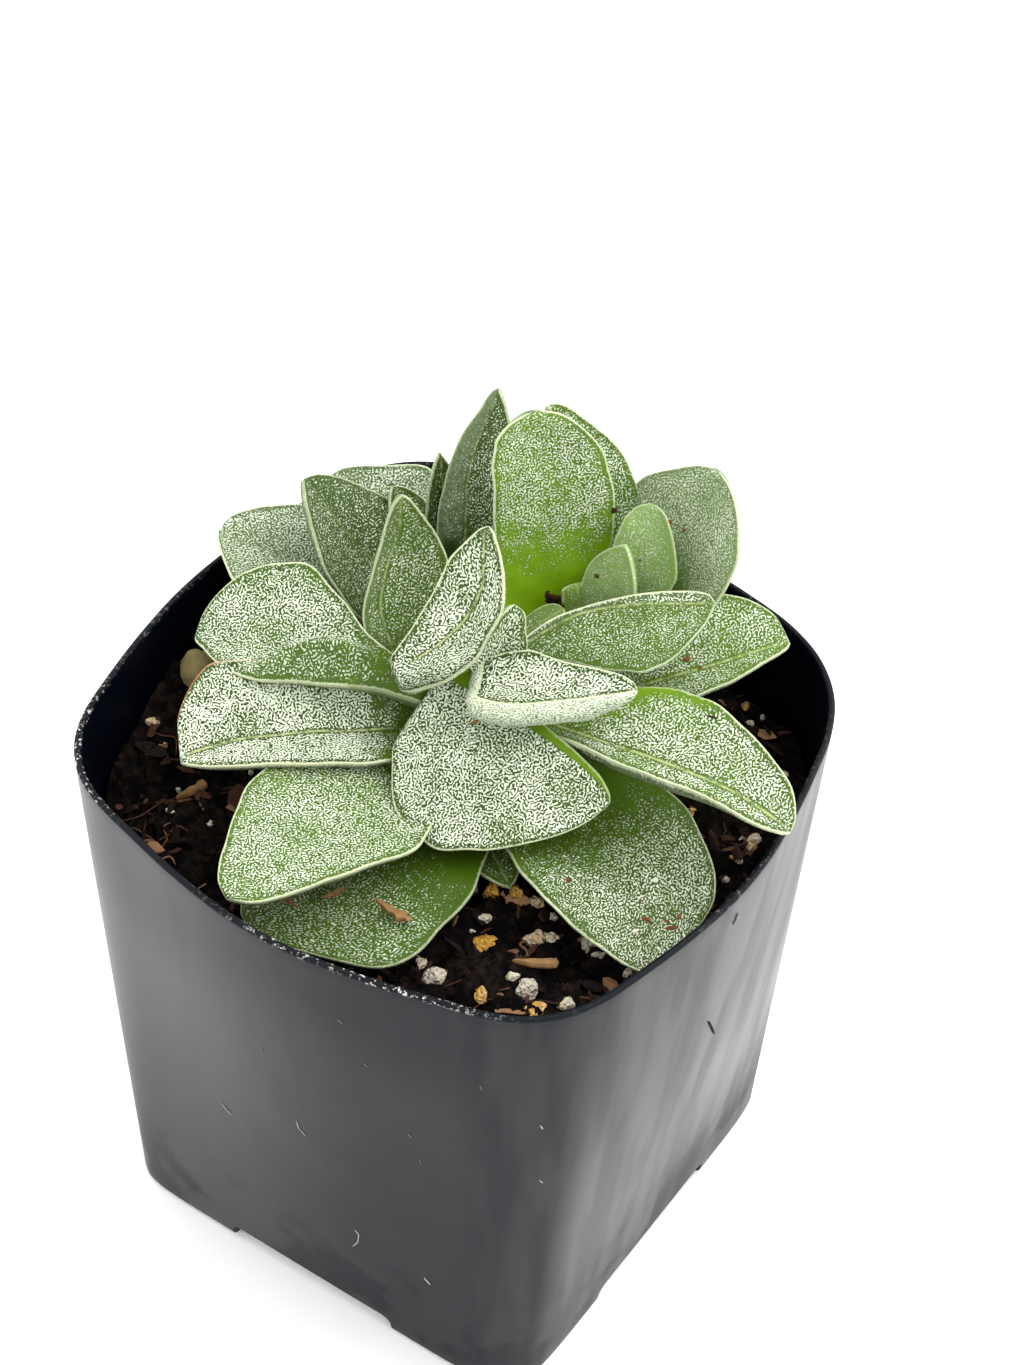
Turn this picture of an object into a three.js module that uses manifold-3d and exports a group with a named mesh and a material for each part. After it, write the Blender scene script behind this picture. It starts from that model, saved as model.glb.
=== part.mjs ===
// A succulent in a square nursery pot: black plastic pot, potting mix, three short stems and their leaves.
// Millimetres, +Z up. The origin is the centre of the pot's foot, X and Y run along the pot's sides.

import * as THREE from 'three';
import { mergeVertices } from 'three/addons/utils/BufferGeometryUtils.js';
import Module from 'manifold-3d';

const wasm = await Module();
wasm.setup();

// Pot
const POT_WIDTH = 63;
const POT_HEIGHT = 65;
const FOOT_WIDTH = 52.5;
const FOOT_CORNER = 6;
const RIM_CORNERS = [18, 13, 14, 12.5];
const RIM_BULGES = [2.7, 1.9, 2.8, 3.7];
const WALL = 0.8;
const FLOOR = 1;
const NOTCH_HALF = 10.5;
const NOTCH_START = 13;
const NOTCH_HEIGHT = 2.5;
const DRAIN_RADIUS = 3;
const DRAIN_OFFSET = 19;
const DRAIN_SIDES = 16;
const SIDE_PARTS = 5;
const CORNER_PARTS = 5;

// Potting mix
const SOIL_LEVEL = 53;
const SOIL_RELIEF = 0.9;
const SOIL_RINGS = [1, 0.9, 0.78, 0.66, 0.54, 0.42, 0.3, 0.18, 0.07];
const CRUMBS = 30;
const CRUMB_SPREAD = 26;
const CRUMB_SMALLEST = 1;
const CRUMB_GROWTH = 1.1;
const CRUMB_FLATNESS = [1, 0.8, 0.7];
const SEAT = 0.3;
const TRUE_TO = 0.03;
const GRAIN_STAND = 0.2;
const GRAIN_LEAST = 0.84;
const GRAIN_SWELL = 0.3;

// Stems: foot and head of each, with the radius at both ends
const STEM_ROOT = 44;
const STEM_SIDES = 12;
const STEM_FULL_TO = 0.35;
const STEM_THIN_AT = 0.9;
const STEM_TOP = 0.6;
const STEMS = {
  stem_main: { at: [-1, -1], head: [-1.5, 2, 72.5], radius: [3, 1.8] },
  stem_right: { at: [2, 15], head: [4, 20, 67], radius: [2.5, 1.8] },
  stem_left: { at: [-11, 11], head: [-12.5, 15.5, 67], radius: [2.5, 1.8] },
};

// Leaves. Every leaf starts at its foot and runs along a spine of its own length.
// turn: heading in plan from +X towards +Y; sway: how far the heading changes by the tip.
// rise: climb at the foot; curl: how far the climb changes by the tip; roll: how far the right side dips.
// fold: how far each half is raised from flat, as a trough; lean: share of width moved to the right half.
// widest: place of the greatest width; neck: width at the foot; waist: above 1 for a narrow lower half;
// tip: 0.5 for a round tip, 1 for a sharp one.
const LEAVES = {
  crown_leaf_right: { foot: [0.5, -1.5, 70.5], turn: 21, sway: 0, rise: 12, curl: 0, roll: 10,
    long: 17, wide: 8.2, thick: 3, fold: 20, lean: -0.05, widest: 0.22, neck: 0.9, tip: 0.85 },
  crown_leaf_back: { foot: [-6, -5, 71], turn: 51, sway: 50, rise: 31, curl: 30, roll: 0,
    long: 17.5, wide: 9.6, thick: 3, fold: 20, lean: 0.24, widest: 0.5, neck: 0.9, tip: 0.8 },
  crown_leaf_small: { foot: [-0.5, 5.5, 67.5], turn: 6, sway: 0, rise: 78, curl: 0, roll: 0,
    long: 8.5, wide: 8, thick: 2, fold: 15, lean: 0, widest: 0.4, neck: 0.8, tip: 0.9 },
  leaf_front: { foot: [-3, -1, 68], turn: -3, sway: 0, rise: -3, curl: -10, roll: 35,
    long: 21, wide: 14.5, thick: 3.5, fold: 5, lean: 0.65, widest: 0.35, neck: 1, tip: 0.6 },
  leaf_back_left: { foot: [-4.5, -1, 65], turn: 138, sway: 0, rise: 23, curl: 70, roll: 0,
    long: 21.5, wide: 10, thick: 3, fold: 20, lean: 0.2, widest: 0.55, neck: 0.6, tip: 0.8 },
  leaf_back: { foot: [0, 16.5, 61], turn: 143, sway: 0, rise: 60, curl: 25, roll: 0,
    long: 26.5, wide: 12.5, thick: 3.5, fold: 12, lean: 0, widest: 0.6, neck: 0.85, tip: 0.5 },
  leaf_left: { foot: [-3.5, -2, 67], turn: -168, sway: 0, rise: 6.5, curl: -20, roll: -22,
    long: 25.5, wide: 14, thick: 3.5, fold: 15, lean: 0.5, widest: 0.5, neck: 0.3, waist: 2.4, tip: 0.6 },
  leaf_left_low: { foot: [-3.5, -2.5, 62], turn: -135, sway: 0, rise: 5, curl: -10, roll: -6,
    long: 24, wide: 13.5, thick: 3.5, fold: 20, lean: 0.45, widest: 0.6, neck: 0.7, tip: 0.45 },
  leaf_right: { foot: [1, 1, 66.3], turn: 15, sway: -24, rise: 10.5, curl: -16, roll: 10,
    long: 34, wide: 11.5, thick: 3.5, fold: 20, lean: -0.12, widest: 0.66, neck: 0.2, waist: 2.5, tip: 0.8 },
  leaf_front_left: { foot: [-0.5, -3.5, 60.5], turn: -101, sway: 0, rise: 4, curl: 0, roll: 0,
    long: 28, wide: 15.5, thick: 3.5, fold: 5, lean: 0.15, widest: 0.6, neck: 0.5, tip: 0.6 },
  leaf_front_low: { foot: [0, -3.5, 58.5], turn: -75, sway: -35, rise: -4, curl: -5, roll: 0,
    long: 27, wide: 20, thick: 3.2, fold: 5, lean: 0, widest: 0.6, neck: 0.5, tip: 0.6 },
  leaf_front_right: { foot: [1.5, -0.5, 60.5], turn: -3, sway: -20, rise: -3, curl: -8, roll: 0,
    long: 30.5, wide: 18, thick: 3.2, fold: 5, lean: 0, widest: 0.6, neck: 0.5, tip: 0.5 },
  leaf_small_low: { foot: [1, -3, 58], turn: -33, sway: 0, rise: -4, curl: 0, roll: 0,
    long: 13.5, wide: 6, thick: 2, fold: 5, lean: 0, widest: 0.5, neck: 0.6, tip: 0.7 },
  leaf_back_right: { foot: [0, 1.5, 66], turn: 69, sway: -45, rise: 21, curl: 0, roll: 20,
    long: 25.5, wide: 10.5, thick: 3, fold: 20, lean: 0.3, widest: 0.6, neck: 0.5, tip: 0.7 },
  leaf_back_right_low: { foot: [1, 1, 62], turn: 49, sway: 0, rise: 11, curl: 0, roll: 10,
    long: 32, wide: 11, thick: 3, fold: 20, lean: -0.3, widest: 0.65, neck: 0.45, tip: 0.7 },
  right_head_back: { foot: [4.5, 21.5, 62], turn: 74, sway: 0, rise: 49, curl: 20, roll: 0,
    long: 20, wide: 14, thick: 3, fold: 10, lean: 0, widest: 0.55, neck: 0.9, tip: 0.5 },
  right_head_inner: { foot: [5.5, 20.5, 66], turn: 104, sway: 0, rise: 69, curl: 0, roll: 0,
    long: 12, wide: 6, thick: 2, fold: 10, lean: 0, widest: 0.5, neck: 0.7, tip: 0.6 },
  right_head_bud: { foot: [4, 17.5, 66], turn: 79, sway: 0, rise: 74, curl: 0, roll: 0,
    long: 9.5, wide: 7, thick: 2, fold: 10, lean: 0, widest: 0.35, neck: 0.7, tip: 0.9 },
  right_head_left: { foot: [2.5, 22.5, 64], turn: 168, sway: 0, rise: 62, curl: 0, roll: 0,
    long: 22.5, wide: 11.8, thick: 3, fold: 10, lean: 0.1, widest: 0.5, neck: 0.7, tip: 0.7 },
  left_head_up: { foot: [-11, 15, 65], turn: 99, sway: 0, rise: 73, curl: 0, roll: 0,
    long: 22, wide: 10, thick: 3, fold: 20, lean: 0, widest: 0.35, neck: 0.7, tip: 0.9 },
  left_head_front: { foot: [-11, 11, 63.5], turn: -171, sway: 0, rise: 24, curl: 30, roll: 0,
    long: 20, wide: 13, thick: 3, fold: 15, lean: 0, widest: 0.45, neck: 0.6, tip: 0.8 },
  left_head_low: { foot: [-13, 11, 61.5], turn: -160, sway: 0, rise: 19, curl: 0, roll: 0,
    long: 23, wide: 13, thick: 3, fold: 10, lean: 0, widest: 0.5, neck: 0.6, tip: 0.6 },
  left_head_back: { foot: [-12.5, 17, 62], turn: -170, sway: 0, rise: 34, curl: 0, roll: -15,
    long: 18, wide: 12, thick: 3, fold: 10, lean: 0, widest: 0.5, neck: 0.6, tip: 0.7 },
  left_head_narrow: { foot: [-14, 17, 62], turn: 149, sway: 0, rise: 78, curl: 0, roll: 0,
    long: 15.5, wide: 5, thick: 2, fold: 15, lean: 0, widest: 0.4, neck: 0.6, tip: 0.9 },
  right_head_stub: { foot: [2, 17, 64], turn: 142, sway: 0, rise: 70, curl: 0, roll: 0,
    long: 5.5, wide: 4, thick: 1.6, fold: 0, lean: 0, widest: 0.6, neck: 0.8, tip: 0.5 },
  right_head_strip: { foot: [-1, 10, 67], turn: 51, sway: 0, rise: 33, curl: 0, roll: 0,
    long: 5.5, wide: 4, thick: 1.6, fold: 0, lean: 0, widest: 0.5, neck: 0.8, tip: 0.6 },
  left_head_inner: { foot: [-14, 16, 63], turn: 174, sway: 0, rise: 51, curl: 0, roll: 0,
    long: 11.5, wide: 6, thick: 2, fold: 10, lean: 0, widest: 0.5, neck: 0.7, tip: 0.7 },
  rear_leaf_left: { foot: [-12, 15, 60], turn: 115, sway: 0, rise: 25, curl: 0, roll: 0,
    long: 18, wide: 11, thick: 3, fold: 10, lean: 0, widest: 0.5, neck: 0.6, tip: 0.7 },
  rear_leaf_right: { foot: [4, 19, 59], turn: 95, sway: 0, rise: 40, curl: 0, roll: 0,
    long: 12, wide: 11, thick: 3, fold: 10, lean: 0, widest: 0.5, neck: 0.6, tip: 0.6 },
};

// Perlite grains and the stone bedded in the soil: place, size along, across and up, and heading
const GRAINS = {
  grain_yellow: { at: [12.6, -14.8], size: [2.8, 2.2, 2], turn: 40 },
  grain_double: { at: [17.2, -11.2], size: [4.2, 2.4, 2.4], turn: 30 },
  grain_tall: { at: [10.2, -10.2], size: [1.8, 1.7, 3], turn: 10 },
  grain_shard: { at: [20.8, -9.2], size: [1.6, 1.3, 2.6], turn: 60 },
  grain_left: { at: [11, -21], size: [2.7, 2.2, 2.2], turn: 80 },
  grain_front: { at: [19.2, -17.4], size: [2.6, 2.4, 2.4], turn: 20 },
  grain_beige: { at: [22, -20], size: [2.6, 2, 1.8], turn: 30 },
  grain_right: { at: [27, 11], size: [2.4, 1.8, 1.8], turn: 100 },
  stone: { at: [-29, -4.6], size: [3.4, 4.4, 4.6], turn: 15 },
};

// Bark bits on the soil and on the low front leaf: place, length, width, heading and slope
const BARK = {
  bark_soil: { at: [18.5, -15, 53.6], size: [4.2, 1.3, 0.7], turn: 32, slope: 0 },
  bark_left: { at: [-21.5, -16.8, 54.9], size: [3.6, 1.4, 0.7], turn: 70, slope: 4 },
  bark_leaf_long: { at: [5.6, -20.3, 58.2], size: [4.4, 1.4, 0.6], turn: -5, slope: 3 },
  bark_leaf_short: { at: [-0.6, -21.4, 57.6], size: [2.6, 0.9, 0.6], turn: -15, slope: 2 },
};

// Leaf shape: edge thickness, where the sections stand, and the shares that shape the body
const LEAF_EDGE = 0.7;
const LEAF_STEPS = [0, 0.04, 0.12, 0.25, 0.4, 0.55, 0.68, 0.79, 0.88, 0.94, 0.98, 1];
const LEAF_FACE = [-1, -0.55, 0, 0.55, 1];
const SPINE_PARTS = 60;
const LEAST_HALF = 0.25;
const THIN_FROM = 0.6;
const THINNING = 0.75;
const TAPER = 2.2;
const HEEL = 0.15;
const HEEL_NARROWING = 0.5;

// A closed solid through rings of equal length, capped by fans at both ends
function loft(rings) {
  const size = rings[0].length;
  const corners = [];
  const faces = [];
  for (const ring of rings) {
    for (const point of ring) corners.push(point.x, point.y, point.z);
  }
  for (let row = 0; row + 1 < rings.length; row += 1) {
    for (let side = 0; side < size; side += 1) {
      const next = (side + 1) % size;
      const low = row * size;
      const high = low + size;
      faces.push(low + side, low + next, high + next, low + side, high + next, high + side);
    }
  }
  const addCap = (ring, first, turned) => {
    const middle = new THREE.Vector3();
    for (const point of ring) middle.addScaledVector(point, 1 / size);
    const hub = corners.length / 3;
    corners.push(middle.x, middle.y, middle.z);
    for (let side = 0; side < size; side += 1) {
      const next = (side + 1) % size;
      if (turned) faces.push(hub, first + next, first + side);
      else faces.push(hub, first + side, first + next);
    }
  };
  addCap(rings[0], 0, true);
  addCap(rings.at(-1), (rings.length - 1) * size, false);
  return new wasm.Manifold(new wasm.Mesh({
    numProp: 3,
    vertProperties: new Float32Array(corners),
    triVerts: new Uint32Array(faces),
  }));
}

// A geometry with nothing but its corners
function bare(geometry) {
  geometry.deleteAttribute('normal');
  geometry.deleteAttribute('uv');
  return geometry;
}

// A three.js geometry as a solid
function solidOf(geometry) {
  const merged = mergeVertices(bare(geometry), 1e-4);
  return new wasm.Manifold(new wasm.Mesh({
    numProp: 3,
    vertProperties: new Float32Array(merged.attributes.position.array),
    triVerts: new Uint32Array(merged.index.array),
  }));
}

function boxSolid(low, high) {
  const size = high.map((value, axis) => value - low[axis]);
  const geometry = new THREE.BoxGeometry(...size);
  geometry.translate(...low.map((value, axis) => value + size[axis] / 2));
  return solidOf(geometry);
}

function meshOf(name, solid, look) {
  const { vertProperties, triVerts } = solid.getMesh();
  const geometry = new THREE.BufferGeometry();
  geometry.setAttribute('position', new THREE.BufferAttribute(new Float32Array(vertProperties), 3));
  geometry.setIndex(new THREE.BufferAttribute(new Uint32Array(triVerts), 1));
  geometry.computeVertexNormals();
  const mesh = new THREE.Mesh(geometry, new THREE.MeshStandardMaterial(look));
  mesh.name = name;
  return mesh;
}

// The largest body of a solid that cuts have left in several, without needlessly small faces
function largest(solid) {
  const bodies = solid.decompose();
  bodies.sort((one, other) => other.volume() - one.volume());
  return bodies[0].simplify(TRUE_TO);
}

// Every point of a closed outline moved to the mean of itself and its neighbours
function softened(ring) {
  return ring.map((point, index) => new THREE.Vector3()
    .addScaledVector(point, 0.5)
    .addScaledVector(ring.at(index - 1), 0.25)
    .addScaledVector(ring[(index + 1) % ring.length], 0.25));
}

// A rounded square with sides that bulge out as parabolas, as points at one height
function roundedSquare(half, radii, bulges, height) {
  const ring = [];
  for (let side = 0; side < 4; side += 1) {
    const before = radii[(side + 3) % 4];
    const after = radii[side];
    const flat = [];
    for (let part = 0; part < SIDE_PARTS; part += 1) {
      const share = part / SIDE_PARTS;
      const across = 2 * share - 1;
      const along = before - half + share * (2 * half - before - after);
      flat.push([half + bulges[side] * (1 - across * across), along]);
    }
    for (let part = 0; part < CORNER_PARTS; part += 1) {
      const angle = (Math.PI / 2) * (part / CORNER_PARTS);
      flat.push([half - after + after * Math.cos(angle), half - after + after * Math.sin(angle)]);
    }
    const turn = (side * Math.PI) / 2;
    for (const [x, y] of flat) {
      ring.push(new THREE.Vector3(
        Math.cos(turn) * x - Math.sin(turn) * y,
        Math.sin(turn) * x + Math.cos(turn) * y,
        height,
      ));
    }
  }
  return softened(ring);
}

// The pot's section at a height, drawn in by an inset
function potRing(height, inset) {
  const share = height / POT_HEIGHT;
  const half = THREE.MathUtils.lerp(FOOT_WIDTH, POT_WIDTH, share) / 2 - inset;
  const radii = RIM_CORNERS.map((radius) => THREE.MathUtils.lerp(FOOT_CORNER, radius, share) - inset);
  const bulges = RIM_BULGES.map((bulge) => bulge * share);
  return roundedSquare(half, radii, bulges, height);
}

// The four notches under the middle of the sides, grown by a margin
function notches(margin) {
  const half = NOTCH_HALF + margin;
  const start = NOTCH_START - margin;
  const top = NOTCH_HEIGHT + margin;
  const right = boxSolid([start, -half, -1], [POT_WIDTH, half, top]);
  const left = boxSolid([-POT_WIDTH, -half, -1], [-start, half, top]);
  const back = boxSolid([-half, start, -1], [half, POT_WIDTH, top]);
  const front = boxSolid([-half, -POT_WIDTH, -1], [half, -start, top]);
  return right.add(left).add(back).add(front);
}

function buildPot() {
  const outside = loft([potRing(0, 0), potRing(POT_HEIGHT, 0)]);
  const hollow = loft([potRing(FLOOR, WALL), potRing(POT_HEIGHT + 1, WALL)]);
  let pot = outside.subtract(hollow.subtract(notches(FLOOR))).subtract(notches(0));
  const holes = [[DRAIN_OFFSET, 0], [-DRAIN_OFFSET, 0], [0, DRAIN_OFFSET], [0, -DRAIN_OFFSET]];
  for (const [x, y] of holes) {
    const drill = new THREE.CylinderGeometry(DRAIN_RADIUS, DRAIN_RADIUS, 2 * NOTCH_HEIGHT, DRAIN_SIDES);
    drill.rotateX(Math.PI / 2);
    drill.translate(x, y, NOTCH_HEIGHT);
    pot = pot.subtract(solidOf(drill));
  }
  return pot;
}

// Seeded numbers between 0 and 1
function drawFrom(seed) {
  let state = seed;
  return () => {
    state = (state * 1664525 + 1013904223) % 4294967296;
    return state / 4294967296;
  };
}

function soilHeight(x, y) {
  const waves = Math.sin(0.31 * x + 1.3) * Math.cos(0.27 * y - 0.6) + 0.5 * Math.sin(0.73 * x - 0.55 * y);
  return SOIL_LEVEL + SOIL_RELIEF * waves;
}

function buildSoil(tools) {
  const rings = [potRing(FLOOR + SEAT, WALL + SEAT)];
  const edge = potRing(SOIL_LEVEL, WALL + SEAT);
  for (const share of SOIL_RINGS) {
    rings.push(edge.map(({ x, y }) => new THREE.Vector3(
      x * share,
      y * share,
      soilHeight(x * share, y * share),
    )));
  }
  let soil = loft(rings).subtract(notches(FLOOR + SEAT));
  const draw = drawFrom(7);
  for (let crumb = 0; crumb < CRUMBS; crumb += 1) {
    const around = 2 * Math.PI * draw();
    const out = CRUMB_SPREAD * Math.sqrt(draw());
    const x = out * Math.cos(around);
    const y = out * Math.sin(around);
    const lump = new THREE.OctahedronGeometry(CRUMB_SMALLEST + CRUMB_GROWTH * draw(), 0);
    lump.scale(...CRUMB_FLATNESS);
    lump.rotateZ(2 * Math.PI * draw());
    lump.translate(x, y, soilHeight(x, y));
    soil = soil.add(solidOf(lump));
  }
  for (const tool of tools) soil = soil.subtract(tool);
  return largest(soil);
}

// A rough grain: a ball with its corners moved in and out at random
function buildGrain({ at, size, turn }, seed, margin) {
  const draw = drawFrom(seed);
  const shape = mergeVertices(bare(new THREE.IcosahedronGeometry(1, 1)), 1e-4);
  const place = shape.attributes.position;
  for (let corner = 0; corner < place.count; corner += 1) {
    const swell = GRAIN_LEAST + GRAIN_SWELL * draw();
    place.setXYZ(
      corner,
      place.getX(corner) * swell * (size[0] / 2 + margin),
      place.getY(corner) * swell * (size[1] / 2 + margin),
      place.getZ(corner) * swell * (size[2] / 2 + margin),
    );
  }
  shape.rotateZ(THREE.MathUtils.degToRad(turn));
  shape.translate(at[0], at[1], soilHeight(at[0], at[1]) + GRAIN_STAND * size[2]);
  return solidOf(shape);
}

// A bit of bark: a flat six-sided chip that tapers to both ends
function buildBark({ at, size, turn, slope }, margin) {
  const [long, wide, thick] = size;
  const outline = [[-0.5, -0.1], [-0.3, -0.5], [0.35, -0.4], [0.5, 0.15], [0.25, 0.5], [-0.35, 0.4]];
  const grown = outline.map(([x, y]) => new THREE.Vector2(
    x * (long + 2 * margin),
    y * (wide + 2 * margin),
  ));
  const depth = thick + 2 * margin;
  const chip = new THREE.ExtrudeGeometry(new THREE.Shape(grown), { depth, bevelEnabled: false });
  chip.translate(0, 0, -depth / 2);
  chip.rotateY(-THREE.MathUtils.degToRad(slope));
  chip.rotateZ(THREE.MathUtils.degToRad(turn));
  chip.translate(...at);
  return solidOf(chip);
}

// A stem from its root in the soil to its head, with a margin
function buildStem({ at, head, radius }, margin) {
  const [wide, narrow] = radius;
  const stations = [[0, wide], [STEM_FULL_TO, wide], [STEM_THIN_AT, narrow], [1, narrow * STEM_TOP]];
  const rings = [];
  for (const [share, thick] of stations) {
    const grown = thick + margin;
    const x = THREE.MathUtils.lerp(at[0], head[0], share);
    const y = THREE.MathUtils.lerp(at[1], head[1], share);
    const z = THREE.MathUtils.lerp(STEM_ROOT - margin, head[2] + margin, share);
    const ring = [];
    for (let side = 0; side < STEM_SIDES; side += 1) {
      const angle = (2 * Math.PI * side) / STEM_SIDES;
      ring.push(new THREE.Vector3(x + grown * Math.cos(angle), y + grown * Math.sin(angle), z));
    }
    rings.push(ring);
  }
  return loft(rings);
}

// Half the width of a leaf at a share of its length
function leafHalf({ wide, widest, neck, waist = 1, tip }, share) {
  const heel = 1 - HEEL_NARROWING * Math.max(0, 1 - share / HEEL) ** 2;
  if (share < widest) {
    return (wide / 2) * heel * (neck + (1 - neck) * Math.sin((Math.PI / 2) * (share / widest)) ** waist);
  }
  const beyond = (share - widest) / (1 - widest);
  return (wide / 2) * (1 - beyond ** TAPER) ** tip;
}

// Points, directions and frames along a leaf's spine
function leafSpine(leaf) {
  const place = new THREE.Vector3(...leaf.foot);
  const spine = [];
  const rad = THREE.MathUtils.degToRad;
  let done = 0;
  for (const share of LEAF_STEPS) {
    const parts = Math.max(1, Math.round((share - done) * SPINE_PARTS));
    const step = ((share - done) * leaf.long) / parts;
    for (let part = 0; part < parts; part += 1) {
      const middle = done + ((share - done) * (part + 0.5)) / parts;
      place.addScaledVector(direction(leaf, middle), step);
    }
    done = share;
    const along = direction(leaf, share);
    const heading = rad(leaf.turn + leaf.sway * share);
    const flatSide = new THREE.Vector3(Math.sin(heading), -Math.cos(heading), 0);
    const flatUp = new THREE.Vector3().crossVectors(flatSide, along);
    const roll = rad(leaf.roll);
    const side = flatSide.clone().multiplyScalar(Math.cos(roll)).addScaledVector(flatUp, -Math.sin(roll));
    const up = flatUp.clone().multiplyScalar(Math.cos(roll)).addScaledVector(flatSide, Math.sin(roll));
    spine.push({ share, point: place.clone(), along, side, up });
  }
  return spine;
}

function direction(leaf, share) {
  const heading = THREE.MathUtils.degToRad(leaf.turn + leaf.sway * share);
  const climb = THREE.MathUtils.degToRad(leaf.rise + leaf.curl * share);
  return new THREE.Vector3(
    Math.cos(climb) * Math.cos(heading),
    Math.cos(climb) * Math.sin(heading),
    Math.sin(climb),
  );
}

// A leaf as a solid, grown by a margin on all sides
function buildLeaf(leaf, margin) {
  const fold = THREE.MathUtils.degToRad(leaf.fold);
  const rings = leafSpine(leaf).map(({ share, point, along, side, up }, row, all) => {
    const half = leafHalf(leaf, share);
    const thinning = Math.max(0, (share - THIN_FROM) / (1 - THIN_FROM));
    const body = leaf.thick * (1 - THINNING * thinning ** 2);
    const last = row === all.length - 1;
    const slide = (row === 0 ? -margin : 0) + (last ? margin : 0);
    const at = (across, drop) => {
      const reach = Math.max(half, LEAST_HALF) * (across > 0 ? 1 + leaf.lean : 1 - leaf.lean);
      const atEdge = Math.abs(across) === 1;
      const out = across * reach + (atEdge ? across * margin : 0);
      return point.clone()
        .addScaledVector(along, slide)
        .addScaledVector(side, out * Math.cos(fold))
        .addScaledVector(up, Math.abs(out) * Math.sin(fold) - drop);
    };
    const top = LEAF_FACE.map((across) => at(across, -margin));
    const under = LEAF_FACE.map((across) => {
      const depth = LEAF_EDGE + (body - LEAF_EDGE) * Math.sqrt(Math.max(0, 1 - across * across));
      return at(across, (last ? LEAF_EDGE : depth) + margin);
    });
    return [...top, ...under.reverse()];
  });
  return loft(rings);
}

const group = new THREE.Group();

const stems = Object.entries(STEMS).map(([name, stem]) => ({
  name,
  solid: buildStem(stem, 0),
  tool: buildStem(stem, SEAT),
}));
const growth = stems.map(({ tool }) => tool);
const leaves = Object.entries(LEAVES).map(([name, leaf]) => {
  let solid = buildLeaf(leaf, 0);
  for (const tool of growth) solid = solid.subtract(tool);
  growth.push(buildLeaf(leaf, SEAT));
  return { name, solid: largest(solid) };
});

const grains = Object.entries(GRAINS).map(([name, grain], index) => ({
  name,
  solid: growth.reduce((solid, tool) => solid.subtract(tool), buildGrain(grain, index + 1, 0)),
  tool: buildGrain(grain, index + 1, SEAT),
}));
const bark = Object.entries(BARK).map(([name, chip]) => ({
  name,
  solid: [...growth, ...grains.map(({ tool }) => tool)]
    .reduce((solid, tool) => solid.subtract(tool), buildBark(chip, 0)),
  tool: buildBark(chip, SEAT),
}));
const soilTools = [...growth, ...grains.map(({ tool }) => tool), ...bark.map(({ tool }) => tool)];

group.add(meshOf('pot', buildPot(), { color: 0x2b2c2d, roughness: 0.55, metalness: 0 }));
group.add(meshOf('soil', buildSoil(soilTools), { color: 0x1c1512, roughness: 1, metalness: 0 }));
for (const { name, solid } of stems) {
  group.add(meshOf(name, solid, { color: 0x8aa35a, roughness: 0.6, metalness: 0 }));
}
for (const { name, solid } of leaves) {
  group.add(meshOf(name, solid, { color: 0x93a98c, roughness: 0.55, metalness: 0 }));
}
for (const { name, solid } of grains) {
  group.add(meshOf(name, largest(solid), { color: 0xe9e2cf, roughness: 0.9, metalness: 0 }));
}
for (const { name, solid } of bark) {
  group.add(meshOf(name, largest(solid), { color: 0x7a4a2c, roughness: 0.95, metalness: 0 }));
}

export default group;
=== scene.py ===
"""A succulent in a square nursery pot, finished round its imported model.

Lengths in the tables are millimetres, in the model's own frame: +Z is up and the origin is the centre of the
pot's foot. Every mesh is made in metres, with its object at the origin.
"""

import math

import bmesh
import bpy
import numpy as np
from bpy.props import FloatProperty, FloatVectorProperty, IntProperty, PointerProperty
from mathutils import Matrix, Vector


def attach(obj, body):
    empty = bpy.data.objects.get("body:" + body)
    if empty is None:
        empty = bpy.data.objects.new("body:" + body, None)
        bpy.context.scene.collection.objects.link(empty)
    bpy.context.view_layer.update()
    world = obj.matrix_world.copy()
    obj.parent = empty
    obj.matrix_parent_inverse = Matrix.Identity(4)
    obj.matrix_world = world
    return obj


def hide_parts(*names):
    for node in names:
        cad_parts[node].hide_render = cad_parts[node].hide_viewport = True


bl_info = {
    "name": "Potted succulent",
    "version": (1, 0, 0),
    "blender": (4, 5, 0),
    "location": "View3D > Sidebar > Succulent",
    "description": "Makes the finished plant, its pot, the potting mix and the stage round the packed model",
    "category": "Add Mesh",
}

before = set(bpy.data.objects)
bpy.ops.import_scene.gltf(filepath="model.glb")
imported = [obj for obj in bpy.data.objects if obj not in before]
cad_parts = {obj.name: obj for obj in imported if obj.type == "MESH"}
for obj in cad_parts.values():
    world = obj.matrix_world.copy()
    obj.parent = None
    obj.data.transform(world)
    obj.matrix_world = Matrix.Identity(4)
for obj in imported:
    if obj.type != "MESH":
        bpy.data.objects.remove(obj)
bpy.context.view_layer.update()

MM = 0.001
TAU = 2 * math.pi
BODY = "root"
UPWARDS = np.array([0.0, 0.0, 1.0])

# Waves that make relief and ragged edges: depth, pitch and seed, but for grains without the depth
RIPPLE_WAVES = 28
CRUST_WAVES = (0.12, 0.9, 12)
CRUST_GRIT = (0.05, 0.35, 13)
MARGIN_WAVES = (0.012, 5.0, 31)
SKIN_WAVES = (0.06, 9.0, 41)
SKIN_RIPPLES = (0.02, 3.0, 42)
RAGGED_WAVES = (0.03, 2.5, 43)
COVER_WAVES = (0.06, 6.0, 44)
STEM_WAVES = (0.05, 2.0, 51)
GRAIN_WAVES = (1.4, 61)
GRAIN_PITS = (0.5, 62)

# Seeds of the random draws: how loose bits lie, where they are, and the first of each kind's own shapes
FLAKE_LIE, FLAKE_PLACES, FLAKE_SHAPES = 5, 6, 1000
FIBRE_LIE, FIBRE_PLACES = 8, 9
CRUMB_LIE, CRUMB_PLACES, CRUMB_SHAPES = 14, 15, 200
SPECK_SHAPES, LOOSE_SHAPES, BARK_SHAPES = 300, 400, 70
STONE_SHAPE, PEBBLE_SHAPE = 40, 43

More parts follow.
